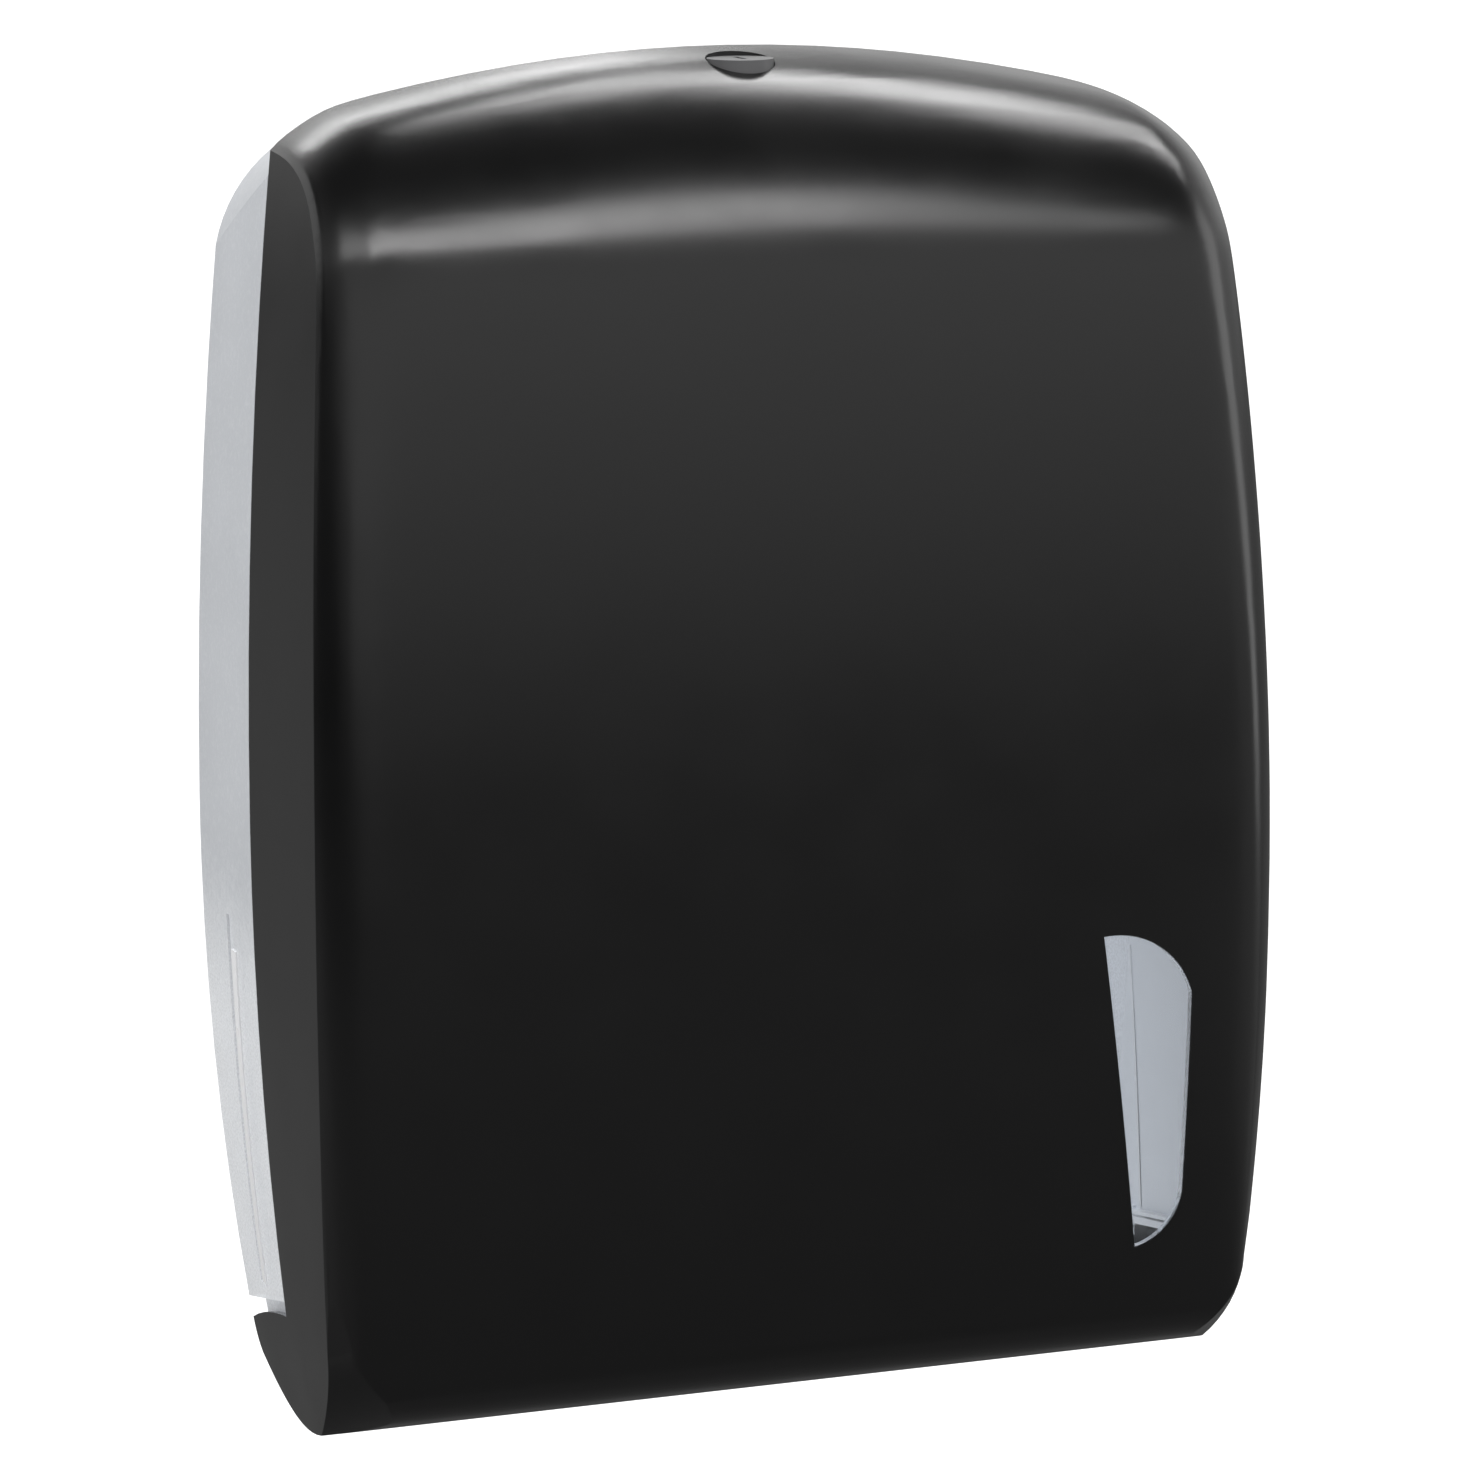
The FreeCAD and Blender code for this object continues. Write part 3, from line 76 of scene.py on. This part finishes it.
# %% [markdown]
# ## Helpers for finishes
#
# A finish is a small network of shader nodes.  Moulded plastic is never perfectly even: it has a
# fine orange-peel in its surface and a roughness that drifts a little from place to place.  Both
# come from noise on Object coordinates, which stay with the object in every view.  Short helpers
# for the nodes that come back most often keep the networks readable.

# %% Grade, combine and place noise
def grade(tree, value, span, levels, smooth=False):
    """Carry an output from span (first, last) to levels (low, high), held at both ends."""
    ramp = tree.nodes.new("ShaderNodeMapRange")
    if smooth:
        ramp.interpolation_type = "SMOOTHSTEP"
    ramp.inputs["From Min"].default_value, ramp.inputs["From Max"].default_value = span
    ramp.inputs["To Min"].default_value, ramp.inputs["To Max"].default_value = levels
    tree.links.new(value, ramp.inputs["Value"])
    return ramp.outputs["Result"]


def combine(tree, operation, first, second):
    """One Math node on two outputs."""
    node = tree.nodes.new("ShaderNodeMath")
    node.operation = operation
    tree.links.new(first, node.inputs[0])
    tree.links.new(second, node.inputs[1])
    return node.outputs[0]


def axes(tree, kind="Object"):
    """The X, Y and Z outputs of one kind of texture coordinate."""
    place = tree.nodes.new("ShaderNodeTexCoord")
    parts = tree.nodes.new("ShaderNodeSeparateXYZ")
    tree.links.new(place.outputs[kind], parts.inputs["Vector"])
    return parts.outputs


def noise(tree, scale, detail=3.0, stretch=(1, 1, 1)):
    """Noise on Object coordinates, with `scale` features per metre, squeezed by `stretch`."""
    place = tree.nodes.new("ShaderNodeTexCoord")
    mapping = tree.nodes.new("ShaderNodeMapping")
    mapping.inputs["Scale"].default_value = stretch
    texture = tree.nodes.new("ShaderNodeTexNoise")
    texture.inputs["Scale"].default_value = scale
    texture.inputs["Detail"].default_value = detail
    tree.links.new(place.outputs["Object"], mapping.inputs["Vector"])
    tree.links.new(mapping.outputs["Vector"], texture.inputs["Vector"])
    return texture.outputs["Fac"]


NOISE_SPAN = (0.3, 0.7)             # where nearly all of a noise's values lie
print("helpers for nodes are ready; noise is read over", NOISE_SPAN)

# %% [markdown]
# ## One finish for all hard surfaces
#
# Plastic and metal differ here only in colour, shine and the size of the grain, so one function
# makes them all.  The roughness drifts in patches a few centimetres wide, and the bump is the
# grain that the mould or the tool leaves.

# %% Make a plastic or metal finish
DRIFT_SCALE = 35.0                  # patches of roughness per metre


def finish(name, colour, roughness, metallic=0.0, grain=900.0, depth=0.00002, drift=0.06,
           stretch=(1, 1, 1)):
    """A moulded or metal surface: base colour, drifting roughness and a fine bump.

    grain is the number of bump features per metre and depth their height in metres.
    """
    material = bpy.data.materials.new(name)
    material.use_nodes = True
    tree = material.node_tree
    shader = tree.nodes["Principled BSDF"]
    shader.inputs["Base Color"].default_value = (*colour, 1.0)
    shader.inputs["Metallic"].default_value = metallic
    uneven = grade(tree, noise(tree, DRIFT_SCALE), NOISE_SPAN,
                   (roughness - drift, roughness + drift))
    tree.links.new(uneven, shader.inputs["Roughness"])
    bump = tree.nodes.new("ShaderNodeBump")
    bump.inputs["Distance"].default_value = depth
    bump.inputs["Strength"].default_value = 1.0
    tree.links.new(noise(tree, grain, stretch=stretch), bump.inputs["Height"])
    tree.links.new(bump.outputs["Normal"], shader.inputs["Normal"])
    return material, shader


def dress(node, material):
    """Give a solid its finish."""
    mesh = nodes[node].data
    mesh.materials.clear()
    mesh.materials.append(material)


print("roughness drifts in", DRIFT_SCALE, "patches per metre")

# %% [markdown]
# ## Black cover
#
# The cover is injection moulded in a black ABS with a satin gloss.  Almost nothing comes back from
# the pigment itself, so the base colour is close to black, and what the eye sees is the studio
# mirrored softly by the skin, which is polished enough to give back twice what bare plastic does.
# A low-scale bump keeps the highlights from looking like paint.

# %% Finish the cover and the lock's visible parts
cover_black, cover_shader = finish("cover_black", (0.0024, 0.0024, 0.0025), 0.24,
                                   grain=2600.0, depth=0.000003, drift=0.02)
cover_shader.inputs["Specular IOR Level"].default_value = 1.0
dress("front_cover", cover_black)
lock_black, _ = finish("lock_black", (0.115, 0.115, 0.118), 0.42, grain=1500.0)
for name in ("lock_ring", "lock_barrel"):
    dress(name, lock_black)
print("cover and lock are black")

# %% [markdown]
# ## Frosted rear body
#
# The body is a milky plastic that lets most of the light through but blurs what is behind it.
# A plastic shader gives its satin face, and a share of plain transparency lets light in: a small
# share for the eye, so that the inside only glimmers through, and a large one for light that
# bounces or throws shadows, so that the room inside fills with light as it does in the real one.
# A fine noise in that share is the frosting.

# %% Mix plastic and clear
LIGHT_SHARE = 0.95                  # how much of bounced light passes each face
FROST = (1400.0, 0.6, 1.4)          # specks per metre and how they spread the eye's share
CLEAR_TINT = (0.97, 0.98, 1.0)


def frosted_plastic(name, colour, roughness, eye_share):
    """Satin plastic mixed with transparency: eye_share of it, spread by FROST, for the eye, and
    LIGHT_SHARE for bounced light and shadows.

    Returns the material, its plastic shader, the node that chooses the share, and the eye's share.
    """
    material, shader = finish(name, colour, roughness, grain=1700.0, depth=0.00004, drift=0.08)
    tree = material.node_tree
    clear = tree.nodes.new("ShaderNodeBsdfTransparent")
    clear.inputs["Color"].default_value = (*CLEAR_TINT, 1.0)
    scale, least, most = FROST
    eye = grade(tree, noise(tree, scale, detail=1.0), NOISE_SPAN,
                (least * eye_share, most * eye_share))
    path = tree.nodes.new("ShaderNodeLightPath").outputs
    share = tree.nodes.new("ShaderNodeMix")
    share.data_type = "FLOAT"
    carried = combine(tree, "MAXIMUM", path["Is Shadow Ray"], path["Is Diffuse Ray"])
    tree.links.new(carried, share.inputs[0])
    tree.links.new(eye, share.inputs[2])
    share.inputs[3].default_value = LIGHT_SHARE
    mixed = tree.nodes.new("ShaderNodeMixShader")
    tree.links.new(share.outputs[0], mixed.inputs[0])
    tree.links.new(shader.outputs["BSDF"], mixed.inputs[1])
    tree.links.new(clear.outputs["BSDF"], mixed.inputs[2])
    tree.links.new(mixed.outputs["Shader"], tree.nodes["Material Output"].inputs["Surface"])
    return material, shader, share, eye


TRAY_GREY = (0.56, 0.58, 0.61)
# painted light: the screens' near-white stands for the light that fills the inside of the
# dispenser
SCREEN_PAINTED_LIGHT_WHITE = (0.95, 0.97, 0.99)
# painted highlight: the white of the lip, bead, fold and raised line stands for highlights on
# their edges
EDGE_PAINTED_HIGHLIGHT_WHITE = (0.97, 0.98, 0.99)

tray_frost = frosted_plastic("frosted_tray", TRAY_GREY, 0.42, 0.10)[0]
screen_frost_painted_light = frosted_plastic("frosted_screen_painted_light", SCREEN_PAINTED_LIGHT_WHITE, 0.36, 0.02)[0]
edge_painted_highlight, _ = finish("frosted_edge_painted_highlight", EDGE_PAINTED_HIGHLIGHT_WHITE, 0.25, grain=1500.0, depth=0.00001)
dress("dispensing_tray", tray_frost)
print("tray is frosted")

# %% [markdown]
# ## A clearer foot, painted paler as painted light
#
# The body's foot lets the eye further in than its top, and its grey is painted paler there:
# painted light, standing for the light that shines through the foot.  There is a soft step
# between the two, and the etched face is slightly mottled all over.  The step is a smooth range
# of heights, and the mottle is noise added to it before it chooses between the two greys.

# %% Finish the body
EYE_SHARE = 0.05                    # how much the eye sees through the body's top
FOOT_GAIN = 4.8                     # how many times more at its foot
FOOT_RANGE = (0.165, 0.100)         # heights between which the top's look gives way to the foot's
MOTTLE = (520.0, -0.16, 0.16)       # patches per metre and how far they move the step
BODY_GREY = (0.62, 0.64, 0.67)
# painted light: the foot's paler grey stands for the light that shines through it
FOOT_PAINTED_LIGHT_GREY = (0.90, 0.915, 0.93)


def clearer_foot_with_painted_light(tree, shader, share, eye):
    """Below FOOT_RANGE the base colour turns from BODY_GREY to FOOT_PAINTED_LIGHT_GREY, a paler
    grey painted as the light that shines through the foot, and the eye's share grows by FOOT_GAIN;
    both follow the same smooth step in height.  A noise added to the step mottles the colour."""
    low = grade(tree, axes(tree)["Z"], FOOT_RANGE, (0.0, 1.0), smooth=True)
    scale, least, most = MOTTLE
    patches = grade(tree, noise(tree, scale), NOISE_SPAN, (least, most))
    tone = tree.nodes.new("ShaderNodeMix")
    tone.data_type = "RGBA"
    tone.inputs[6].default_value = (*BODY_GREY, 1.0)
    tone.inputs[7].default_value = (*FOOT_PAINTED_LIGHT_GREY, 1.0)
    tree.links.new(combine(tree, "ADD", low, patches), tone.inputs[0])
    tree.links.new(tone.outputs[2], shader.inputs["Base Color"])
    gain = grade(tree, low, (0.0, 1.0), (1.0, FOOT_GAIN))
    tree.links.new(combine(tree, "MULTIPLY", eye, gain), share.inputs[2])


frosted, satin, share, eye_output = frosted_plastic("frosted_body", BODY_GREY, 0.36, EYE_SHARE)
clearer_foot_with_painted_light(frosted.node_tree, satin, share, eye_output)
dress("rear_body", frosted)
print("body is frosted, its foot from", FOOT_RANGE[0], "down to", FOOT_RANGE[1])

# %% [markdown]
# ## Side screens
#
# Inside the cover the body carries on forward as two thin frosted screens, which keep the towels
# in line and give the window its background; their near-white colour is painted light, standing
# for the light that fills the inside.  Each is a thin wall that keeps the same distance from the
# outside of the dispenser all over.  It could be cut out of a copy of the body, but the outside is
# simply ruled between two barrel-shaped outlines, so the screen is worked out from the same two
# outlines, moved inwards.  This cell holds the formulas of its outline.

# %% Describe the screens' outline
FRONT_OUTLINE = (0.1519, 0.150, 2.260)      # widest half-width, its height, radius
REAR_OUTLINE = (0.1509, 0.172, 1.760, 0.980)        # the same, with radii above and below
OUTLINE_REACH = 0.120                       # the front outline's distance from the wall
SCREEN_DEPTH = (0.0405, 0.106)              # reach where a screen starts and, low down, ends
SCREEN_FOOT = (0.0195, 0.135)               # height of its lower edge at the wall, and its rise
SCREEN_TOP = 0.290
SCREEN_CORNER = 0.030                       # radius of its top front corner
PANEL_BOW = (0.130, 1.260)                  # height of the panel's fullest point, its bow's radius


def half_width(reach, height):
    """Half-width of the dispenser: a circle's fall at the wall and one at the front, blended by
    how far out the point is."""
    width, waist, radius = FRONT_OUTLINE
    front = width - radius + np.sqrt(radius ** 2 - (height - waist) ** 2)
    width, waist, above, below = REAR_OUTLINE
    radius = np.where(height > waist, above, below)
    rear = width - radius + np.sqrt(radius ** 2 - (height - waist) ** 2)
    return rear + (front - rear) * reach / OUTLINE_REACH


def foot_height(reach):
    """The screen's lower edge rises slowly and straight towards the front."""
    start, rise = SCREEN_FOOT
    return start + rise * reach


def front_reach(height):
    """The screen's front edge leans back with the bowed panel: a circle's fall above its middle,
    and a quarter circle's fall at the rounded top corner."""
    middle, radius = PANEL_BOW
    above = np.maximum(height - middle, 0)
    bow = radius - np.sqrt(radius ** 2 - above ** 2)
    above = np.clip(height - SCREEN_TOP + SCREEN_CORNER, 0, SCREEN_CORNER)
    return SCREEN_DEPTH[1] - bow - (SCREEN_CORNER - np.sqrt(SCREEN_CORNER ** 2 - above ** 2))


print("half-width at the foot and at the screens' top, at their front edge:",
      half_width(SCREEN_DEPTH[1], np.array([0.0, SCREEN_TOP])).round(4))

# %% [markdown]
# ## A thin closed wall
#
# A screen is a grid of points given by reach and height, laid on the outline twice, once for each
# of its faces.  Joining the two grids by a rim of quads gives a closed wall, which a Solidify
# modifier would give too, but here the thickness is measured across the dispenser, as the mould's
# is.  The last step turns every face outwards.

# %% Make a wall from two grids
def thin_wall(name, side, reach, height, insets, material):
    """Closed wall between two insets of the outside.

    reach and height are grids; each face is half_width less its inset, and the four edges are
    closed by quads between the two.
    """
    rows, columns = reach.shape
    layers = [side * (half_width(reach, height) - inset) for inset in insets]
    points = np.concatenate([np.stack([x, -reach, height], axis=-1).reshape(-1, 3)
                             for x in layers])
    index = np.arange(rows * columns).reshape(rows, columns)
    quads = np.stack([index[:-1, :-1], index[1:, :-1], index[1:, 1:], index[:-1, 1:]],
                     axis=-1).reshape(-1, 4)
    edge = np.concatenate([index[0, :], index[1:, -1], index[-1, -2::-1], index[-2:0:-1, 0]])
    following = np.roll(edge, -1)
    other = rows * columns
    rim = np.stack([edge, following, following + other, edge + other], axis=-1)
    faces = np.concatenate([quads, quads[:, ::-1] + other, rim])
    mesh = bpy.data.meshes.new(name)
    mesh.from_pydata(points.tolist(), [], faces.tolist())
    work = bmesh.new()
    work.from_mesh(mesh)
    bmesh.ops.recalc_face_normals(work, faces=work.faces)
    work.to_mesh(mesh)
    work.free()
    thing = bpy.data.objects.new(name, mesh)
    bpy.context.scene.collection.objects.link(thing)
    thing.data.materials.append(material)
    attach(thing, "wall_body")
    print(name, len(mesh.polygons), "faces")


STRIP_COLUMNS = 4


def strip_wall(name, side, reach, height, insets):
    """The same for a narrow strip painted white as a painted highlight: reach and height are the
    two long edges, given as arrays of shape (n, 2) or (n, 1) and joined straight across."""
    blend = np.linspace(0, 1, STRIP_COLUMNS)[None, :]
    reach = reach[:, :1] + (reach[:, -1:] - reach[:, :1]) * blend
    height = height[:, :1] + (height[:, -1:] - height[:, :1]) * blend
    thin_wall(name, side, reach, height, insets, edge_painted_highlight)


# %% [markdown]
# ## Screens and strips
#
# Both sides get a screen, and narrow strips made by the same function and painted white, as
# painted highlights on real ledges and ridges: a lip and a bead along the screen's foot, a fold
# that leans forward to the foot, and a slim raised line along the flute on the outside of the
# body.

# %% Build the screens and the strips
SCREEN_INSETS = (0.0049, 0.0064)                    # how far inside the outside its faces lie
SCREEN_GRID = (14, 60)                              # points across and along a screen
STRIP_ROWS = 40
MIDDLE_REACH = 0.07                                 # where the screen's rows are evenly spaced

# each strip: its two edges from the line it follows, and the insets of its two faces
LIP = ((0.0001, -0.0010), (0.0047, 0.0092))         # edges in height, from the screen's foot
BEAD = ((-0.0022, -0.0044), (0.0047, 0.0076))       # the same
FOLD = ((0.0, 0.0013), (0.0060, 0.00668))           # edges in reach
LINE = ((0.0, 0.0050), (-0.0004, 0.0004))           # the same
FOLD_RUN = ((0.0406, 0.1092), (0.0622, 0.0290))     # reach and height of the fold's two ends
LINE_RUN = ((0.0318, 0.025), (0.0318, 0.130))       # and of the raised line's


def straight(run, ends, number):
    """Reach (number 0) or height (number 1) along the straight line between two ends."""
    return ends[0][number] + run * (ends[1][number] - ends[0][number])


across, along = np.meshgrid(*(np.linspace(0, 1, count) for count in SCREEN_GRID))
run = np.linspace(0, 1, STRIP_ROWS)[:, None]
for side, word in ((-1, "left"), (1, "right")):
    level_foot = foot_height(MIDDLE_REACH)
    height = level_foot + along * (SCREEN_TOP - level_foot)
    reach = SCREEN_DEPTH[0] + across * (front_reach(height) - SCREEN_DEPTH[0])
    height = height + (foot_height(reach) - level_foot) * (1 - along)
    thin_wall(f"side_screen_{word}", side, reach, height, SCREEN_INSETS, screen_frost_painted_light)
    # a lip on the screen's foot, and a bead under it
    reach = SCREEN_DEPTH[0] + run * (SCREEN_DEPTH[1] - SCREEN_DEPTH[0])
    for name, (edges, insets) in (("screen_lip", LIP), ("screen_bead", BEAD)):
        strip_wall(f"{name}_{word}", side, reach, foot_height(reach) + np.array([edges]), insets)
    # a fold that leans forward to the foot, and a slim raised line along the flute outside
    for name, ends, (edges, insets) in (("screen_fold", FOLD_RUN, FOLD),
                                        ("side_line", LINE_RUN, LINE)):
        strip_wall(f"{name}_{word}", side, straight(run, ends, 0) + np.array([edges]),
                   straight(run, ends, 1), insets)

# %% [markdown]
# ## Clear window
#
# The level window is a pane of clear plastic with a faint blue tint.  It is thin and nearly flat,
# so it hardly bends what is seen through it: a low index of refraction says that simply.

# %% Finish the window pane
pane, pane_shader = finish("window_clear", (0.93, 0.962, 1.0), 0.03, grain=300.0,
                           depth=0.000001, drift=0.01)
pane_shader.inputs["Transmission Weight"].default_value = 0.98
pane_shader.inputs["IOR"].default_value = 1.10
dress("window_pane", pane)
print("pane is clear")

# %% [markdown]
# ## Metal and hidden mouldings
#
# Pins and screws are bright steel, the nut, cam, keeper and bolt are plated zinc with a duller,
# slightly yellow sheen, and the bolt's housing is black nylon.

# %% Finish the small parts
steel, _ = finish("bright_steel", (0.62, 0.62, 0.63), 0.24, metallic=1.0, grain=4000.0,
                  depth=0.000004, stretch=(1, 1, 0.1))
zinc, _ = finish("plated_zinc", (0.55, 0.54, 0.50), 0.38, metallic=1.0, grain=700.0,
                 depth=0.00002)
nylon, _ = finish("black_nylon", (0.03, 0.03, 0.03), 0.5, grain=1200.0, depth=0.00003)
for name in ("hinge_pin_left", "hinge_pin_right", "tray_screws", "keeper_screws",
             "housing_screws", "cam_screw", "lock_circlip"):
    dress(name, steel)
for name in ("lock_nut", "lock_cam", "latch_keeper", "latch_bolt"):
    dress(name, zinc)
dress("latch_housing", nylon)

# %% [markdown]
# ## Studio
#
# A black object is lit by what it mirrors, so the studio is shaped for its mirror image.  The
# world is plain white for the camera and for what is seen through the window, an even grey for
# light that is scattered, and for mirrored light a soft gradient: dim below the horizon, pale
# above it, dark overhead and far to the left, where a black flag would stand, and brighter behind
# the wall's plane.

# %% Fill the world with light
EVEN_LIGHT = 0.88                       # for scattered light
SKY = [(-0.20, 0.10), (0.0, 0.285), (0.20, 0.50), (0.42, 0.385), (0.70, 0.016)]     # z, brightness
FLAG = ((-0.98, -0.80), (0.1, 1.0))     # span in x, and how far the flag dims the sky there
BEHIND = ((0.0, 0.6), (1.0, 1.7))       # span in y, and how much brighter it is behind the wall

world = bpy.data.worlds.new("studio")
bpy.context.scene.world = world
world.use_nodes = True
tree = world.node_tree
tree.nodes.clear()


def switch(tree, ray, plain, special):
    """plain, or special where the ray is of the named kind; either is a number or an output."""
    path = tree.nodes.new("ShaderNodeLightPath")
    mix = tree.nodes.new("ShaderNodeMix")
    mix.data_type = "FLOAT"
    tree.links.new(path.outputs[ray], mix.inputs[0])
    for slot, value in ((2, plain), (3, special)):
        if isinstance(value, float):
            mix.inputs[slot].default_value = value
        else:
            tree.links.new(value, mix.inputs[slot])
    return mix.outputs[0]


direction = axes(tree, "Generated")
ramp = tree.nodes.new("ShaderNodeValToRGB")
ramp.color_ramp.interpolation = "EASE"
stops = ramp.color_ramp.elements
for number, (height, level) in enumerate(SKY):
    stop = stops[number] if number < 2 else stops.new(1.0)
    stop.position = (height + 1) / 2
    stop.color = (level, level, level, 1.0)
tree.links.new(grade(tree, direction["Z"], (-1.0, 1.0), (0.0, 1.0)), ramp.inputs["Fac"])
flagged = combine(tree, "MULTIPLY", ramp.outputs["Color"], grade(tree, direction["X"], *FLAG))
mirrored = combine(tree, "MULTIPLY", flagged, grade(tree, direction["Y"], *BEHIND))

level = switch(tree, "Is Glossy Ray", EVEN_LIGHT, mirrored)
level = switch(tree, "Is Transmission Ray", level, 1.0)
level = switch(tree, "Is Camera Ray", level, 1.0)
background = tree.nodes.new("ShaderNodeBackground")
background.inputs["Color"].default_value = (1.0, 1.0, 1.0, 1.0)
tree.links.new(level, background.inputs["Strength"])
output = tree.nodes.new("ShaderNodeOutputWorld")
tree.links.new(background.outputs["Background"], output.inputs["Surface"])
bpy.context.scene.view_settings.view_transform = "Standard"
print("world levels:", EVEN_LIGHT, SKY)

# %% [markdown]
# ## Lamps
#
# Soft boxes stay out of the picture.  Each highlight on the dome is the mirror image of a row of
# boxes hung end to end along a bent line: one in front and above for the lower arc, one overhead
# and behind for the upper arc, and a low one behind for the bright streak along the left shoulder.
# Single boxes on the right run down the rolled edge.  Each is given its brightness per area,
# because that is what a mirror image shows.

# %% Hang the soft boxes
DOME = (0.0, -0.10, 0.37)           # the middle of the dome, which the rows of boxes face


def soft_box(name, start, end, aim, height, brightness):
    """A rectangular lamp that runs from start to end, has the given height and faces aim.

    Its power is brightness * pi * area, the power at which a matte emitter has that radiance.
    """
    start, end = Vector(start), Vector(end)
    middle = (start + end) / 2
    along = (end - start).normalized()
    away = middle - Vector(aim)
    away = (away - away.dot(along) * along).normalized()
    data = bpy.data.lights.new(name, "AREA")
    data.shape = "RECTANGLE"
    data.size, data.size_y = (end - start).length, height
    data.energy = brightness * math.pi * data.size * height
    thing = bpy.data.objects.new(name, data)
    turn = Matrix((along, away.cross(along), away)).transposed().to_4x4()
    thing.matrix_world = Matrix.Translation(middle) @ turn
    thing.visible_camera = False
    bpy.context.scene.collection.objects.link(thing)
    print(name, "gives", round(data.energy, 1), "W")


def row_of_boxes(name, points, height, brightness):
    """Soft boxes end to end through the points, all facing the dome, each with its brightness."""
    for number, level in enumerate(brightness):
        soft_box(f"{name}_{number}", points[number], points[number + 1], DOME, height, level)


row_of_boxes("lower_arc", [(-1.31, -0.30, 1.25), (-0.84, -0.89, 1.41), (0.04, -1.09, 1.47),
                           (0.60, -1.12, 1.29), (0.85, -1.15, 1.15)], 0.33, (2.0, 4.5, 4.5, 1.4))
row_of_boxes("upper_arc", [(0.27, 0.96, 1.41), (0.52, 0.67, 1.57), (0.84, 0.58, 1.48),
                           (0.98, 0.11, 1.58), (1.30, 0.03, 1.30)], 0.38, (3.75, 5.5, 3.5, 2.9))
row_of_boxes("streak", [(-0.45, 1.50, 1.25), (0.38, 1.47, 1.26), (0.58, 1.51, 1.12)], 0.23,
             (3.9, 3.6))
soft_box("right_box", (1.72, -0.66, 0.55), (1.68, -0.06, 0.55), (0.14, -0.08, 0.3), 1.3, 0.9)
soft_box("right_foot", (1.12, -1.50, -0.10), (1.80, 0.15, -0.10), (0.14, -0.13, 0.15), 0.8, 0.13)

# %% [markdown]
# ## Floor
#
# The dispenser hangs on a wall, well above a plain pale floor.  The floor takes shadows like any
# pale surface, and a little light of its own, for the camera and for what is seen through clear
# plastic, brings it up to white.  In the mirror image on the cover it is dim, and dimmer still to
# the left and close by, so the black stays black.

# %% Lay the floor
FLOOR_HEIGHT = -0.60
FLOOR_HALF = 30.0                       # half the sheet's side
FLOOR_GREY = 0.8                        # as a matte surface
FLOOR_GLOW = 0.5                        # its own light, for the eye alone
MIRROR_LEFT = ((-5.0, -3.0), (0.01, 0.10))      # span in x, and how pale the mirrored floor is
MIRROR_NEAR = ((1.0, 2.4), (0.55, 1.0))         # distance, and how far nearness dims it
MIRROR_BEHIND = ((-0.5, 1.0), BEHIND[1])        # span in y, brighter behind as the sky is


def level_sheet(name, half, height):
    """Flat square sheet: corner points (u, v, height) for u and v at plus and minus half."""
    u, v = np.meshgrid([-half, half], [-half, half])
    points = np.stack([u.ravel(), v.ravel(), np.full(4, height)], axis=1)
    mesh = bpy.data.meshes.new(name)
    mesh.from_pydata(points.tolist(), [], [(0, 1, 3, 2)])
    sheet = bpy.data.objects.new(name, mesh)
    bpy.context.scene.collection.objects.link(sheet)
    return sheet


floor = level_sheet("floor", FLOOR_HALF, FLOOR_HEIGHT)
floor_paint = bpy.data.materials.new("floor_paint")
floor_paint.use_nodes = True
tree = floor_paint.node_tree
tree.nodes.clear()
matte = tree.nodes.new("ShaderNodeBsdfDiffuse")
spot = axes(tree)
place = tree.nodes.new("ShaderNodeTexCoord")
far = tree.nodes.new("ShaderNodeVectorMath")
far.operation = "LENGTH"
tree.links.new(place.outputs["Object"], far.inputs[0])
shade = combine(tree, "MULTIPLY", grade(tree, spot["X"], *MIRROR_LEFT),
                grade(tree, far.outputs["Value"], *MIRROR_NEAR))
dim = combine(tree, "MULTIPLY", shade, grade(tree, spot["Y"], *MIRROR_BEHIND))
tree.links.new(switch(tree, "Is Glossy Ray", FLOOR_GREY, dim), matte.inputs["Color"])
glow = tree.nodes.new("ShaderNodeEmission")
glow.inputs["Color"].default_value = (1.0, 1.0, 1.0, 1.0)
lift = switch(tree, "Is Transmission Ray", 0.0, FLOOR_GLOW)
lift = switch(tree, "Is Camera Ray", lift, FLOOR_GLOW)
tree.links.new(lift, glow.inputs["Strength"])
both = tree.nodes.new("ShaderNodeAddShader")
tree.links.new(matte.outputs["BSDF"], both.inputs[0])
tree.links.new(glow.outputs["Emission"], both.inputs[1])
output = tree.nodes.new("ShaderNodeOutputMaterial")
tree.links.new(both.outputs["Shader"], output.inputs["Surface"])
floor.data.materials.append(floor_paint)
print("floor at", FLOOR_HEIGHT)
